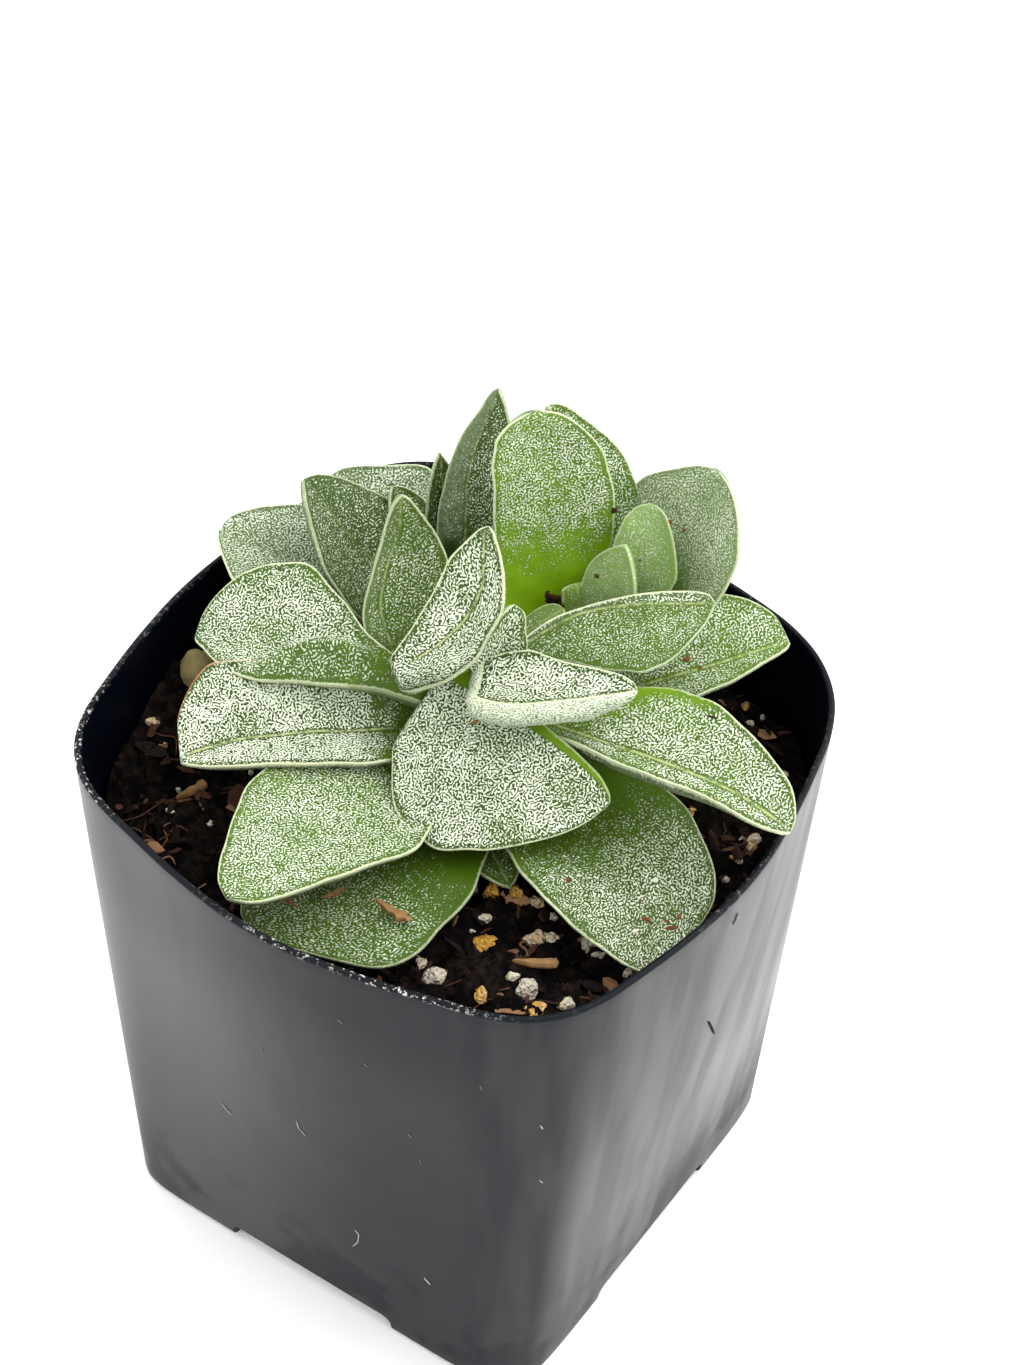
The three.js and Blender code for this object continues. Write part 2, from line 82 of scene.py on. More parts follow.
# How high the middle of a loose bit lies: above the mix, and above the pot as a share of its thickness
FIBRE_LIFT = 0.5
CRUMB_LIFT = 0.55
LINT_LIFT = 0.3

# The pot, as the model has it
POT_WIDTH = 63.0
POT_HEIGHT = 65.0
FOOT_WIDTH = 52.5
FOOT_CORNER = 6.0
RIM_CORNERS = np.array([18.0, 13.0, 14.0, 12.5])
RIM_BULGES = np.array([2.7, 1.9, 2.8, 3.7])
WALL = 0.8
FLOOR = 1.0
NOTCH_HALF = 10.5
NOTCH_START = 13.0
NOTCH_HEIGHT = 2.5
NOTCH_ROUNDING = 1.2
DRAIN_RADIUS = 3.0
DRAIN_OFFSET = 19.0
RING_PARTS = 5
RING_STEPS = 320
FOOT_ROUNDING = 1.0
SKIN = 0.06

# The potting mix
SOIL_LEVEL = 53.0
SOIL_RELIEF = 0.9
SOIL_GAP = 0.3
SOIL_SUNK = 0.35
SOIL_REACH = 31
SOIL_RINGS = 120
HEAP_RISE = 5.2
HEAP_TOP = -31.0
HEAP_FOOT = -22.0
HEAP_START = (-26.0, -18.0)
HEAP_END = (-3.0, 9.0)
HEAP_ROWS = 120
HEAP_COLUMNS = 44
HEAP_DEPTH = 2.5
CRUST_SEED = 11

# Leaves: the same measures as the model's
EDGE_DEPTH = 0.26
BELLY = 0.8
THIN_FROM = 0.6
THINNING = 0.75
TAPER = 2.2
HEEL = 0.15
HEEL_NARROWING = 0.5
LEAST_HALF = 0.25
HEEL_ROUNDING = 1.2
TIP_ROUNDING = 0.5
TROUGH_ROUNDING = 0.6
SPINE_STEPS = 600
MEASURE_STEPS = 400
MEASURE_BELL = 12
CUT_DEPTH = 0.12
LEAF_ROWS = 88
LEAF_RING = 64
UV_UNIT = 10.0
MAZE_PERIODS = 1.55

# Each leaf's foot, then its turn, sway, rise, curl and roll in degrees, its length, width and thickness,
# its fold in degrees, its lean to the right, and its outline: widest place, neck, waist and tip
LEAF_COLUMNS = ("turn", "sway", "rise", "curl", "roll", "long", "wide", "thick", "fold", "lean", "widest",
                "neck", "waist", "tip")
LEAVES = {
    "crown_leaf_right": (0.5, -1.5, 70.5, 21, 0, 12, 0, 10, 17, 8.2, 3, 20, -0.05, 0.22, 0.9, 1, 0.85),
    "crown_leaf_back": (-6, -5, 71, 51, 50, 31, 30, 0, 17.5, 9.6, 3, 20, 0.24, 0.5, 0.9, 1, 0.8),
    "crown_leaf_small": (-0.5, 5.5, 67.5, 6, 0, 78, 0, 0, 8.5, 8, 2, 15, 0, 0.4, 0.8, 1, 0.9),
    "leaf_front": (-3, -1, 68, -3, 0, -3, -10, 35, 21, 14.5, 3.5, 5, 0.65, 0.35, 1, 1, 0.6),
    "leaf_back_left": (-4.5, -1, 65, 138, 0, 23, 70, 0, 21.5, 10, 3, 20, 0.2, 0.55, 0.6, 1, 0.8),
    "leaf_back": (0, 16.5, 61, 143, 0, 60, 25, 0, 26.5, 12.5, 3.5, 12, 0, 0.6, 0.85, 1, 0.5),
    "leaf_left": (-3.5, -2, 67, -168, 0, 6.5, -20, -22, 25.5, 14, 3.5, 15, 0.5, 0.5, 0.3, 2.4, 0.6),
    "leaf_left_low": (-3.5, -2.5, 62, -135, 0, 5, -10, -6, 24, 13.5, 3.5, 20, 0.45, 0.6, 0.7, 1, 0.45),
    "leaf_right": (1, 1, 66.3, 15, -24, 10.5, -16, 10, 34, 11.5, 3.5, 20, -0.12, 0.66, 0.2, 2.5, 0.8),
    "leaf_front_left": (-0.5, -3.5, 60.5, -101, 0, 4, 0, 0, 28, 15.5, 3.5, 5, 0.15, 0.6, 0.5, 1, 0.6),
    "leaf_front_low": (0, -3.5, 58.5, -75, -35, -4, -5, 0, 27, 20, 3.2, 5, 0, 0.6, 0.5, 1, 0.6),
    "leaf_front_right": (1.5, -0.5, 60.5, -3, -20, -3, -8, 0, 30.5, 18, 3.2, 5, 0, 0.6, 0.5, 1, 0.5),
    "leaf_small_low": (1, -3, 58, -33, 0, -4, 0, 0, 13.5, 6, 2, 5, 0, 0.5, 0.6, 1, 0.7),
    "leaf_back_right": (0, 1.5, 66, 69, -45, 21, 0, 20, 25.5, 10.5, 3, 20, 0.3, 0.6, 0.5, 1, 0.7),
    "leaf_back_right_low": (1, 1, 62, 49, 0, 11, 0, 10, 32, 11, 3, 20, -0.3, 0.65, 0.45, 1, 0.7),
    "right_head_back": (4.5, 21.5, 62, 74, 0, 49, 20, 0, 20, 14, 3, 10, 0, 0.55, 0.9, 1, 0.5),
    "right_head_inner": (5.5, 20.5, 66, 104, 0, 69, 0, 0, 12, 6, 2, 10, 0, 0.5, 0.7, 1, 0.6),
    "right_head_bud": (4, 17.5, 66, 79, 0, 74, 0, 0, 9.5, 7, 2, 10, 0, 0.35, 0.7, 1, 0.9),
    "right_head_left": (2.5, 22.5, 64, 168, 0, 62, 0, 0, 22.5, 11.8, 3, 10, 0.1, 0.5, 0.7, 1, 0.7),
    "left_head_up": (-11, 15, 65, 99, 0, 73, 0, 0, 22, 10, 3, 20, 0, 0.35, 0.7, 1, 0.9),
    "left_head_front": (-11, 11, 63.5, -171, 0, 24, 30, 0, 20, 13, 3, 15, 0, 0.45, 0.6, 1, 0.8),
    "left_head_low": (-13, 11, 61.5, -160, 0, 19, 0, 0, 23, 13, 3, 10, 0, 0.5, 0.6, 1, 0.6),
    "left_head_back": (-12.5, 17, 62, -170, 0, 34, 0, -15, 18, 12, 3, 10, 0, 0.5, 0.6, 1, 0.7),
    "left_head_narrow": (-14, 17, 62, 149, 0, 78, 0, 0, 15.5, 5, 2, 15, 0, 0.4, 0.6, 1, 0.9),
    "right_head_stub": (2, 17, 64, 142, 0, 70, 0, 0, 5.5, 4, 1.6, 0, 0, 0.6, 0.8, 1, 0.5),
    "right_head_strip": (-1, 10, 67, 51, 0, 33, 0, 0, 5.5, 4, 1.6, 0, 0, 0.5, 0.8, 1, 0.6),
    "left_head_inner": (-14, 16, 63, 174, 0, 51, 0, 0, 11.5, 6, 2, 10, 0, 0.5, 0.7, 1, 0.7),
    "rear_leaf_left": (-12, 15, 60, 115, 0, 25, 0, 0, 18, 11, 3, 10, 0, 0.5, 0.6, 1, 0.7),
    "rear_leaf_right": (4, 19, 59, 95, 0, 40, 0, 0, 12, 11, 3, 10, 0, 0.5, 0.6, 1, 0.6),
}

# Where the finished leaves differ from the plain ones. left, right and middle are the two margins' distance
# from the spine and the crease's place to the right of it, as a row of shares of the length, each followed
# by its size. forward brings a margin forwards, blunt thickens it, and ridge and ridge_height are the place
# and height of a crest. Some leaves have another foot, turn, rise, roll or length here, and heel is the
# share at which the leaf starts.
FORMS = {
    "crown_leaf_small": dict(
        left=(0, 3.7, 0.4, 2.8, 0.71, 1.9, 0.92, 0.9, 1, 0),
        right=(0, 3.4, 0.4, 2.7, 0.6, 2, 0.88, 1.4, 1, 0), foot=(1.33, 2.66, 70.8), turn=95, rise=55, roll=60,
        long=5.8, heel=-0.3),
    "crown_leaf_right": dict(
        left=(0, 2.6, 0.2, 3.6, 0.365, 3.9, 0.445, 3.2, 0.575, 2.7, 0.77, 2.2, 0.92, 1.4, 1, 0),
        right=(0, 2.6, 0.12, 4.2, 0.315, 4.6, 0.52, 4.1, 0.715, 3.2, 0.84, 2.2, 0.95, 1.2, 1, 0),
        blunt_right=1.5),
    "crown_leaf_back": dict(
        left=(0, 1.2, 0.075, 1.6, 0.31, 2.4, 0.565, 2.7, 0.765, 2.6, 0.92, 1.4, 1, 0),
        right=(0, 4.4, 0.115, 5.6, 0.25, 7.4, 0.4, 7.6, 0.52, 6.6, 0.635, 6.1, 0.73, 4.7, 0.855, 2.8,
               0.945, 1.2, 1, 0), middle=(0, 0, 0.2, 0.8, 0.485, 1.9, 0.7, 1.7, 0.81, 0.6, 0.935, -0.2, 1, 0),
        forward_left=0.8, forward_right=(0, -5.5, 0.4, -5, 0.55, -1.5, 0.7, 1.4, 1, 1.2)),
    "leaf_front": dict(
        left=(0, 3.6, 0.1, 3.3, 0.2, 2.6, 0.515, 2.4, 0.695, 2.2, 0.885, 1.6, 1, 0),
        right=(0, 8, 0.105, 11.2, 0.265, 13.2, 0.405, 13.6, 0.66, 11.2, 0.855, 6.8, 0.98, 2.4, 1, 0),
        heel=-0.05),
    "leaf_back_left": dict(
        left=(0, 2.5, 0.2, 4.5, 0.34, 5.3, 0.42, 5.5, 0.51, 5, 0.61, 3.9, 0.765, 2.6, 0.895, 1.9, 0.985, 0.9,
              1, 0), right=(0, 2.5, 0.3, 4.6, 0.5, 4.8, 0.69, 4.1, 0.77, 3.5, 0.87, 2.3, 0.96, 1.1, 1, 0),
        middle=(0, -1.5, 0.45, -3.2, 0.59, -2.4, 0.705, -1.4, 0.81, -0.4, 1, -0.2), forward_left=-1.6,
        forward_right=0.4),
    "leaf_back": dict(
        left=(0, 4.6, 0.275, 5.8, 0.42, 6.1, 0.8, 6, 0.93, 5.6, 1, 2.2),
        right=(0, 2.4, 0.255, 4.3, 0.33, 5.8, 0.47, 6.9, 0.615, 7, 0.765, 6.3, 0.895, 4.2, 0.98, 1.5,
               1, -2.2),
        middle=(0, 0, 0.7, 0, 1, -2.2)),
    "leaf_left": dict(
        left=(0, 1, 0.17, 1.3, 0.4, 2.9, 0.515, 3.7, 0.64, 4.4, 0.74, 4.3, 0.845, 3.2, 0.935, 1.6, 1, 0),
        right=(0, 1.4, 0.32, 3.9, 0.43, 6.3, 0.555, 8.4, 0.62, 9.1, 0.755, 8.4, 0.845, 7.1, 0.925, 5, 0.97, 3,
               1, 0), ridge=(0, 0.8, 0.3, 1.3, 0.45, 1.1, 0.56, -0.2, 0.69, -2.8, 1, -6),
        ridge_height=(0, 0.6, 0.2, 2, 0.4, 2.9, 0.55, 2.1, 0.72, 0.2, 1, 0)),
    "leaf_left_low": dict(
        left=(0, 3, 0.15, 4.4, 0.35, 4, 0.5, 3.5, 0.65, 2.9, 0.795, 2.2, 0.935, 1.2, 1, 0),
        right=(0, 3.5, 0.3, 7.6, 0.6, 9.8, 0.82, 9.8, 0.885, 8.3, 0.95, 6.2, 0.985, 4.2, 1, 0),
        middle=(0, 0.8, 0.3, 1.3, 0.5, 1.6, 0.745, 1.7, 0.885, 1.2, 1, 0.2), forward_right=0.5),
    "leaf_right": dict(
        left=(0, 0.7, 0.35, 4.4, 0.5, 6.6, 0.6, 7, 0.7, 6.2, 0.825, 5, 0.91, 3.8, 0.97, 2, 1, 0),
        right=(0, 1, 0.255, 2.8, 0.445, 3.7, 0.585, 3.7, 0.725, 2.7, 0.89, 2.3, 0.97, 1.2, 1, 0),
        middle=(0, 0.4, 0.365, 1.4, 0.815, 0, 1, 0)),
    "leaf_front_left": dict(
        left=(0, 2.6, 0.365, 7.5, 0.475, 6.7, 0.615, 5.4, 0.805, 4.1, 0.965, 2.2, 1, 0.3),
        right=(0, 3, 0.3, 9.4, 0.51, 10.4, 0.68, 8.4, 0.84, 5.3, 0.945, 2.9, 1, 0.2)),
    "leaf_front_low": dict(
        left=(0, 3, 0.2, 7.4, 0.37, 8.7, 0.495, 9.1, 0.62, 9.5, 0.725, 8.9, 0.795, 7.2, 0.82, 5.4, 0.905, 0.6,
              1, -4.6), right=(0, 3, 0.25, 8, 0.5, 9.8, 0.75, 9.8, 0.9, 8.6, 0.97, 7, 1, 5),
        middle=(0, 0, 0.55, 0, 0.8, 1.5, 0.9, 3.2, 1, 4.9)),
    "leaf_front_right": dict(
        left=(0, 2.4, 0.25, 8, 0.51, 10.2, 0.61, 9.8, 0.735, 8.6, 0.825, 6.9, 0.88, 5.5, 0.925, 2.8, 0.96, -1,
              1, -3.8),
        right=(0, 2.4, 0.25, 6.8, 0.42, 8, 0.55, 8.4, 0.72, 8.5, 0.835, 7.4, 0.935, 6.5, 0.975, 5.5, 1, 4.2),
        middle=(0, 0, 0.6, 0, 0.85, 1.2, 0.95, 3.2, 1, 4)),
    "leaf_back_right": dict(
        left=(0, 1.5, 0.3, 2.9, 0.405, 3.3, 0.56, 3, 0.76, 2.2, 0.95, 1.3, 1, 0),
        right=(0, 0.6, 0.25, 0.4, 0.33, 1.2, 0.47, 4.5, 0.675, 7.8, 0.855, 6.7, 0.96, 3.6, 1, 0),
        middle=(0, -1.4, 0.3, -2.2, 0.49, -2.6, 0.575, -2.2, 0.7, -1.4, 0.83, -0.6, 0.95, 0.1, 1, 0),
        forward_left=-1.4, forward_right=0.5),
    "leaf_back_right_low": dict(
        left=(0, 1.4, 0.3, 4.6, 0.5, 6.5, 0.7, 7.3, 0.825, 7, 0.91, 5.7, 0.985, 3, 1, 0),
        right=(0, 0.8, 0.4, 1.8, 0.49, 3.3, 0.635, 4.2, 0.775, 3.4, 0.9, 1.9, 1, 0)),
    "right_head_back": dict(
        left=(0, 5.6, 0.3, 7.4, 0.59, 7.7, 0.745, 6.7, 0.885, 3.6, 0.985, 0.4, 1, -1.2),
        right=(0, 6, 0.3, 8.2, 0.57, 8.9, 0.7, 8.5, 0.87, 6.2, 0.98, 3.2, 1, 1.4),
        middle=(0, 0, 0.8, 0, 1, 1.3)),
    "right_head_inner": dict(
        left=(0, 1.8, 0.3, 2.8, 0.62, 2.9, 0.84, 2.4, 1, 0),
        right=(0, 2.2, 0.2, 3.5, 0.415, 4.3, 0.755, 3.1, 0.935, 1.8, 1, 0), middle=(0, 1, 0.5, 1.6, 1, 0.4),
        forward_right=0.8),
    "right_head_stub": dict(
        left=(0, 1.7, 0.95, 1.7, 1, 1.4), right=(0, 1.7, 0.95, 1.7, 1, 1.4)),
    "right_head_left": dict(
        left=(0, 0.6, 1, 0), right=(0, 4.4, 0.3, 6.5, 0.465, 6.8, 0.605, 6.5, 0.75, 5.1, 0.9, 2.8, 1, 0)),
    "left_head_up": dict(
        left=(0, 2.8, 0.2, 3.8, 0.37, 4, 0.545, 3.8, 0.73, 3.1, 0.875, 1.6, 1, 0),
        middle=(0, -0.5, 0.26, -0.8, 0.495, -1.6, 0.705, -1.3, 0.93, 0, 1, 0), forward_left=-1.4),
    "left_head_front": dict(
        left=(0, 3.4, 0.1, 6, 0.33, 9.3, 0.465, 8.8, 0.58, 7.9, 0.7, 6.3, 0.835, 3.7, 0.96, 1.5, 1, 0),
        right=(0, 3.4, 0.3, 6.5, 0.59, 6.5, 0.695, 5.7, 0.805, 4.5, 0.92, 2.8, 0.98, 1.3, 1, 0),
        forward_right=-1.2),
    "left_head_low": dict(
        left=(0, 3.4, 0.3, 7.5, 0.6, 8.5, 0.8, 7.6, 0.865, 6.4, 0.925, 4.2, 0.98, 1.8, 1, 0),
        right=(0, 3.4, 0.3, 7, 0.5, 8.2, 0.705, 7.6, 0.84, 5.4, 0.945, 3.3, 0.99, 1.5, 1, 0)),
    "left_head_back": dict(
        right=(0, 3.4, 0.3, 7.4, 0.605, 7.7, 0.675, 6.8, 0.82, 4.4, 0.95, 1.9, 1, 0)),
}

PLAIN_LOOK = dict(fresh=0.5, deep=0.0, vein=0.4, blush=0.0, smooth=0.0, bloom=0.05, thin_left=0.0,
                  lively=0.15, flank=0.4)


def look(cover, bare=0.0, **other):
    """A leaf's finish. cover is how much of it white papillae hide. They start at the share bare of its
    length, or at left and right along its two margins. fresh is how yellow the bare green is, deep how
    dark, which is partly the leaf's own deeper green and partly painted shade on leaves that lie under
    others, vein how plain the pale midline is, blush the red in the tip's margin, smooth how plain and pale
    the left half is, bloom how pale the skin between the papillae is, and lively how yellow, thin_left how
    much thinner the cover is on the left, partly painted shade where a crest is, and flank how pale the
    underside is."""
    return {**PLAIN_LOOK, "left": bare, "right": bare, **other, "cover": cover, "bare": bare}


# In these finishes deep is partly each leaf's own deeper green and partly painted shade on leaves that lie
# low or under others
LOOKS = {
    "crown_leaf_right": look(0.78, -0.4, vein=0.0, bloom=0.06, flank=0.9),
    "crown_leaf_back": look(0.72, -0.4, vein=0.9, bloom=0.06),
    "crown_leaf_small": look(0.68, -0.4, vein=0.0, lively=0.3),
    "leaf_front": look(0.70, -0.3, left=2.3, fresh=0.75, deep=0.25, vein=0.0),
    "leaf_back_left": look(0.49, 0.2, fresh=0.4, deep=0.4, vein=0.5, smooth=0.3, lively=0.3),
    "leaf_back": look(0.60, 0.34, left=0.40, fresh=1.0, vein=0.0, lively=0.55),
    "leaf_left": look(0.67, 0.12, deep=0.15, vein=0.0, thin_left=0.27, lively=0.2),
    "leaf_left_low": look(0.76, 0.05, deep=0.1, vein=1.0, blush=1.0),
    "leaf_right": look(0.65, 0.14, left=0.5, right=0.1, fresh=0.9, vein=0.9, lively=0.3),
    "leaf_front_left": look(0.62, 0.02, fresh=0.6, deep=0.1, vein=0.0, lively=0.3),
    "leaf_front_low": look(0.45, 0.35, left=0.45, right=0.2, fresh=0.35, deep=0.65, vein=0.0, lively=0.35),
    "leaf_front_right": look(0.59, 0.42, left=0.5, right=0.3, fresh=0.45, deep=0.5, vein=0.0, lively=0.25),
    "leaf_small_low": look(0.3, 0.1, deep=0.5),
    "leaf_back_right": look(0.47, 0.05, right=0.15, fresh=0.8, deep=0.35, vein=0.7, smooth=0.3,
                            thin_left=-0.8, lively=0.35),
    "leaf_back_right_low": look(0.58, 0.12, fresh=0.7, vein=0.8, lively=0.4),
    "right_head_back": look(0.55, 0.35, left=0.1, right=0.1, fresh=0.6, vein=0.0, bloom=0.5, lively=0.4),
    "right_head_inner": look(0.38, -0.2, fresh=1.0, vein=0.1, bloom=0.5, lively=1.0),
    "right_head_bud": look(0.38, -0.2, fresh=1.0, vein=0.1, bloom=0.5, lively=1.0),
    "right_head_left": look(0.56, 0.1, vein=0.0, lively=0.3),
    "left_head_up": look(0.48, 0.15, deep=0.7, smooth=0.8),
    "left_head_front": look(0.4, 0.15, deep=0.7, vein=0.2),
    "left_head_low": look(0.6, 0.1, deep=0.4, vein=0.1, bloom=0.25),
    "left_head_back": look(0.62, 0.1, deep=0.4, vein=0.1, bloom=0.3),
    "left_head_narrow": look(0.4, 0.2, deep=0.5),
    "right_head_stub": look(0.3, -0.2, fresh=0.9, bloom=0.2, lively=0.8),
    "right_head_strip": look(0.3, -0.2, fresh=0.6, bloom=0.2, lively=0.4),
    "left_head_inner": look(0.5, 0.1, deep=0.4),
    "rear_leaf_left": look(0.6, 0.1, deep=0.4),
    "rear_leaf_right": look(0.6, 0.1, deep=0.3),
}

# Stems: foot, head, and the radius at both ends
STEM_ROOT = 44.0
STEMS = {
    "stem_main": ((-1, -1, STEM_ROOT), (-1.5, 2, 72.5), (3, 1.8)),
    "stem_right": ((2, 15, STEM_ROOT), (4, 20, 67), (2.5, 1.8)),
    "stem_left": ((-11, 11, STEM_ROOT), (-12.5, 15.5, 67), (2.5, 1.8)),
}

# Grains on the soil: place, size, turn, how yellow they are stained, and how deep they are waisted
GRAINS = {
    "grain_yellow": ((12.6, -14.8), (2.8, 2.2, 2), 40, 1.0, 0),
    "grain_double": ((17.2, -11.2), (4.2, 2.4, 2.4), 30, 0.35, 0.35),
    "grain_tall": ((10.2, -10.2), (1.8, 1.7, 3), 10, 0.7, 0),
    "grain_shard": ((20.8, -9.2), (1.6, 1.3, 2.6), 60, 0.1, 0),
    "grain_left": ((11, -21), (2.7, 2.2, 2.2), 80, 0.1, 0),
    "grain_front": ((19.2, -17.4), (2.6, 2.4, 2.4), 20, 0.05, 0),
    "grain_beige": ((22, -20), (2.6, 2, 1.8), 30, 0.55, 0),
    "grain_right": ((27, 11), (2.4, 1.8, 1.8), 100, 0.4, 0),
}
GRAIN_STAND = 0.2
STONE_AT = (-29.0, -4.6)
STONE_SIZE = (3.4, 4.4, 4.6)
STONE_TURN = 15.0
PEBBLE_AT = (-28.1, -6.8, 59.9)
PEBBLE_SIZE = (4.4, 4.6, 4.8)
PEBBLE_TURN = 70.0

# Bits of bark: place, size, turn and slope. The outline is half the width along the length, as a share.
BARK = {
    "bark_soil": ((18.5, -15, 54.5), (4.4, 1.5, 0.7), 32, 0),
    "bark_left": ((-21.5, -16.8, 54.9), (3.6, 1.4, 0.7), 70, 4),
    "bark_leaf_long": ((5.6, -20.3, 58.2), (4.4, 1.4, 0.6), -5, 3),
    "bark_leaf_short": ((-0.6, -21.4, 57.6), (2.4, 0.7, 0.4), 62, 6),
}
BARK_SHARES = (-0.5, -0.4, -0.2, 0.1, 0.3, 0.38, 0.44, 0.5)
BARK_WIDTHS = (0.03, 0.12, 0.22, 0.34, 0.4, 0.3, 0.33, 0.08)

# Specks on the leaves: where they show in the view, how long and wide, how far turned, and how pale
SPECKS = (
    (553, 599, 2.2, 1.3, -15, 0.05), (562, 605, 1.1, 0.8, 30, 0.15), (547, 594, 0.9, 0.6, 70, 0.1),
    (614, 510, 0.9, 0.7, 0, 0.1), (669, 522, 1.0, 0.6, 40, 0.45), (685, 530, 0.5, 0.4, 0, 0.4),
    (597, 576, 0.7, 0.5, 20, 0.2), (687, 659, 0.8, 0.6, 0, 0.3), (475, 722, 0.7, 0.5, 10, 0.5),
    (712, 717, 1.5, 0.25, -20, 0.0), (569, 880, 0.8, 0.5, 30, 0.2), (646, 919, 1.2, 0.5, -15, 0.3),
    (651, 923, 0.6, 0.4, 30, 0.2), (667, 921, 0.9, 0.35, -30, 0.3), (672, 928, 1.3, 0.5, 15, 0.25),
    (679, 917, 0.9, 0.4, 60, 0.35), (641, 901, 0.4, 0.3, 0, 0.3), (289, 901, 2.6, 0.5, -38, 0.55),
    (655, 880, 0.8, 0.6, 0, 1.0), (635, 931, 0.7, 0.5, 40, 1.0), (599, 893, 0.3, 0.3, 0, 0.2),
    (700, 668, 0.5, 0.3, 20, 0.3), (640, 560, 0.35, 0.3, 0, 0.3), (320, 905, 0.5, 0.2, 10, 0.3),
)

# Loose grains: where they show in the view, length, width and height, how far turned, and how yellow
LOOSE = (
    (516, 892, 1.3, 1.5, 1.3, 0, 0.6), (484, 919, 1.5, 1.1, 1.0, 0, 0.3),
    (535, 902, 2.4, 1.4, 1.2, -25, 0.35), (552, 917, 1.3, 1.0, 0.9, 0, 0.3),
    (599, 955, 1.5, 0.9, 0.9, 0, 0.25), (420, 963, 1.4, 1.4, 1.2, 0, 0.3),
    (472, 931, 0.7, 0.4, 0.4, 0, 0.0), (512, 977, 1.4, 1.1, 1.0, 20, 0.1), (481, 996, 1.3, 2.1, 1.3, 0, 0.55),
    (567, 1004, 2.0, 1.2, 1.1, 10, 0.3), (629, 973, 1.3, 1.5, 1.2, 0, 0.2), (690, 812, 1.4, 1.1, 1.0, 0, 0.5),
    (745, 706, 1.2, 1.0, 0.9, 30, 0.6), (757, 840, 1.0, 0.9, 0.8, 0, 0.2), (738, 862, 1.2, 0.9, 0.9, 0, 0.3),
    (152, 722, 1.6, 1.1, 1.0, 0, 0.4), (163, 745, 1.0, 0.8, 0.8, 0, 0.5),
)

# Lint and scratches on the pot: their points in the view, one after the other, thickness and how pale
LINT = (
    ((221, 1102, 227, 1110, 233, 1115), 0.14, 0.75), ((296, 1120, 299, 1128, 307, 1137), 0.12, 0.8),
    ((352, 1247, 358, 1242, 359, 1234, 354, 1229), 0.14, 0.8), ((424, 1277, 431, 1285), 0.16, 0.9),
    ((338, 1019, 343, 1024), 0.1, 0.6), ((363, 1063, 369, 1067), 0.1, 0.6),
    ((408, 1133, 412, 1138), 0.12, 0.6), ((419, 1159, 422, 1164), 0.1, 0.5),
    ((540, 1125, 543, 1129), 0.14, 0.8), ((539, 1180, 543, 1183), 0.12, 0.8),
    ((708, 1021, 711, 1027, 714, 1034), 0.25, 0), ((733, 925, 736, 919, 738, 913), 0.3, 0.7),
    ((480, 1085, 482, 1090), 0.12, 0.5), ((262, 1048, 263, 1053), 0.1, 0.5),
)

# Painted sheen on the walls, set where reflections of the light fall: the axis, its low and high end in
# metres, and the amount of clear film at both. The rows multiply.
LEFT_PAINTED_SHEEN = (("x", -0.014, 0.012, 1.05, 0.60), ("z", 0.015, 0.045, 0.85, 1.05),
              ("z", 0.045, 0.060, 1.0, 0.84))
RIGHT_PAINTED_SHEEN = (("z", 0.020, 0.050, 1.20, 0.84), ("z", 0.004, 0.022, 0.68, 1.0))
CORNER_PAINTED_SHEEN = 0.56

# The view
VIEW_TARGET = np.array([1.2, 5.8, 65.4])
VIEW_AZIMUTH = math.radians(32.0)
VIEW_ELEVATION = math.radians(44.0)
VIEW_ROLL = math.radians(3.06)
VIEW_DISTANCE = 299.0
VIEW_LENS = 80.0
VIEW_SENSOR = 36.0
VIEW_FOCUS = 3034.0
VIEW_CENTRE = (512.0, 682.5)
LAMP_AT = Vector((0.35, 0.35, 0.7))
LAMP_AIM = Vector((0, 0, 0.06))


# Numbers and arrays


def shade(red, green, blue):
    """A colour given as display values from 0 to 255, as the light values that shaders use."""
    values = np.array([red, green, blue]) / 255
    light = np.where(values <= 0.04045, values / 12.92, ((values + 0.055) / 1.055) ** 2.4)
    return (*light.tolist(), 1.0)


def ease(value, low, high):
    """A smooth step from 0 at low to 1 at high."""
    share = np.clip((value - low) / (high - low), 0, 1)
    return share * share * (3 - 2 * share)


def ripple(points, depth, pitch, seed):
    """Smooth random relief of about the given depth: the sum of many sine waves, each with its own
    direction and phase and a length near pitch."""
    draw = np.random.default_rng(seed)
    aim = draw.normal(size=(RIPPLE_WAVES, points.shape[-1]))
    aim /= np.linalg.norm(aim, axis=1, keepdims=True)
    length = pitch * draw.uniform(0.7, 1.5, RIPPLE_WAVES)
    phase = draw.uniform(0, TAU, RIPPLE_WAVES)
    waves = np.sin(points @ (aim * (TAU / length)[:, None]).T + phase)
    return depth * (waves.sum(-1) / math.sqrt(RIPPLE_WAVES / 2))


def turned(points, degrees, one=0, two=1):
    """Points turned by an angle from one axis towards another, or else round the upright axis."""
    cosine, sine = math.cos(math.radians(degrees)), math.sin(math.radians(degrees))
    moved = np.array(points, float)
    moved[..., one] = points[..., one] * cosine - points[..., two] * sine
    moved[..., two] = points[..., one] * sine + points[..., two] * cosine
    return moved


def circle(count):
    """Points round a level circle of unit radius."""
    angle = np.arange(count) * TAU / count
    return np.stack([np.cos(angle), np.sin(angle), np.zeros(count)], -1)


def heading_vectors(heading, climb):
    """Unit vectors of a heading in plan and a climb above the level, both in degrees."""
    heading, climb = np.radians(heading), np.radians(climb)
    flat = np.cos(climb)
    return np.stack([flat * np.cos(heading), flat * np.sin(heading), np.sin(climb)], -1)


def soil_height(x, y):
    """The soil's broad relief: its level plus two crossed waves."""
    waves = np.sin(0.31 * x + 1.3) * np.cos(0.27 * y - 0.6) + 0.5 * np.sin(0.73 * x - 0.55 * y)
    return SOIL_LEVEL + SOIL_RELIEF * waves


def heap_height(x, y):
    """How much higher the mix is piled against the wall: a slope that falls away from it, and towards both
    ends."""
    fall = np.clip((x - HEAP_FOOT) / (HEAP_TOP - HEAP_FOOT), 0, 1) ** 1.3
    return HEAP_RISE * fall * ease(y, *HEAP_START) * (1 - ease(y, *HEAP_END))


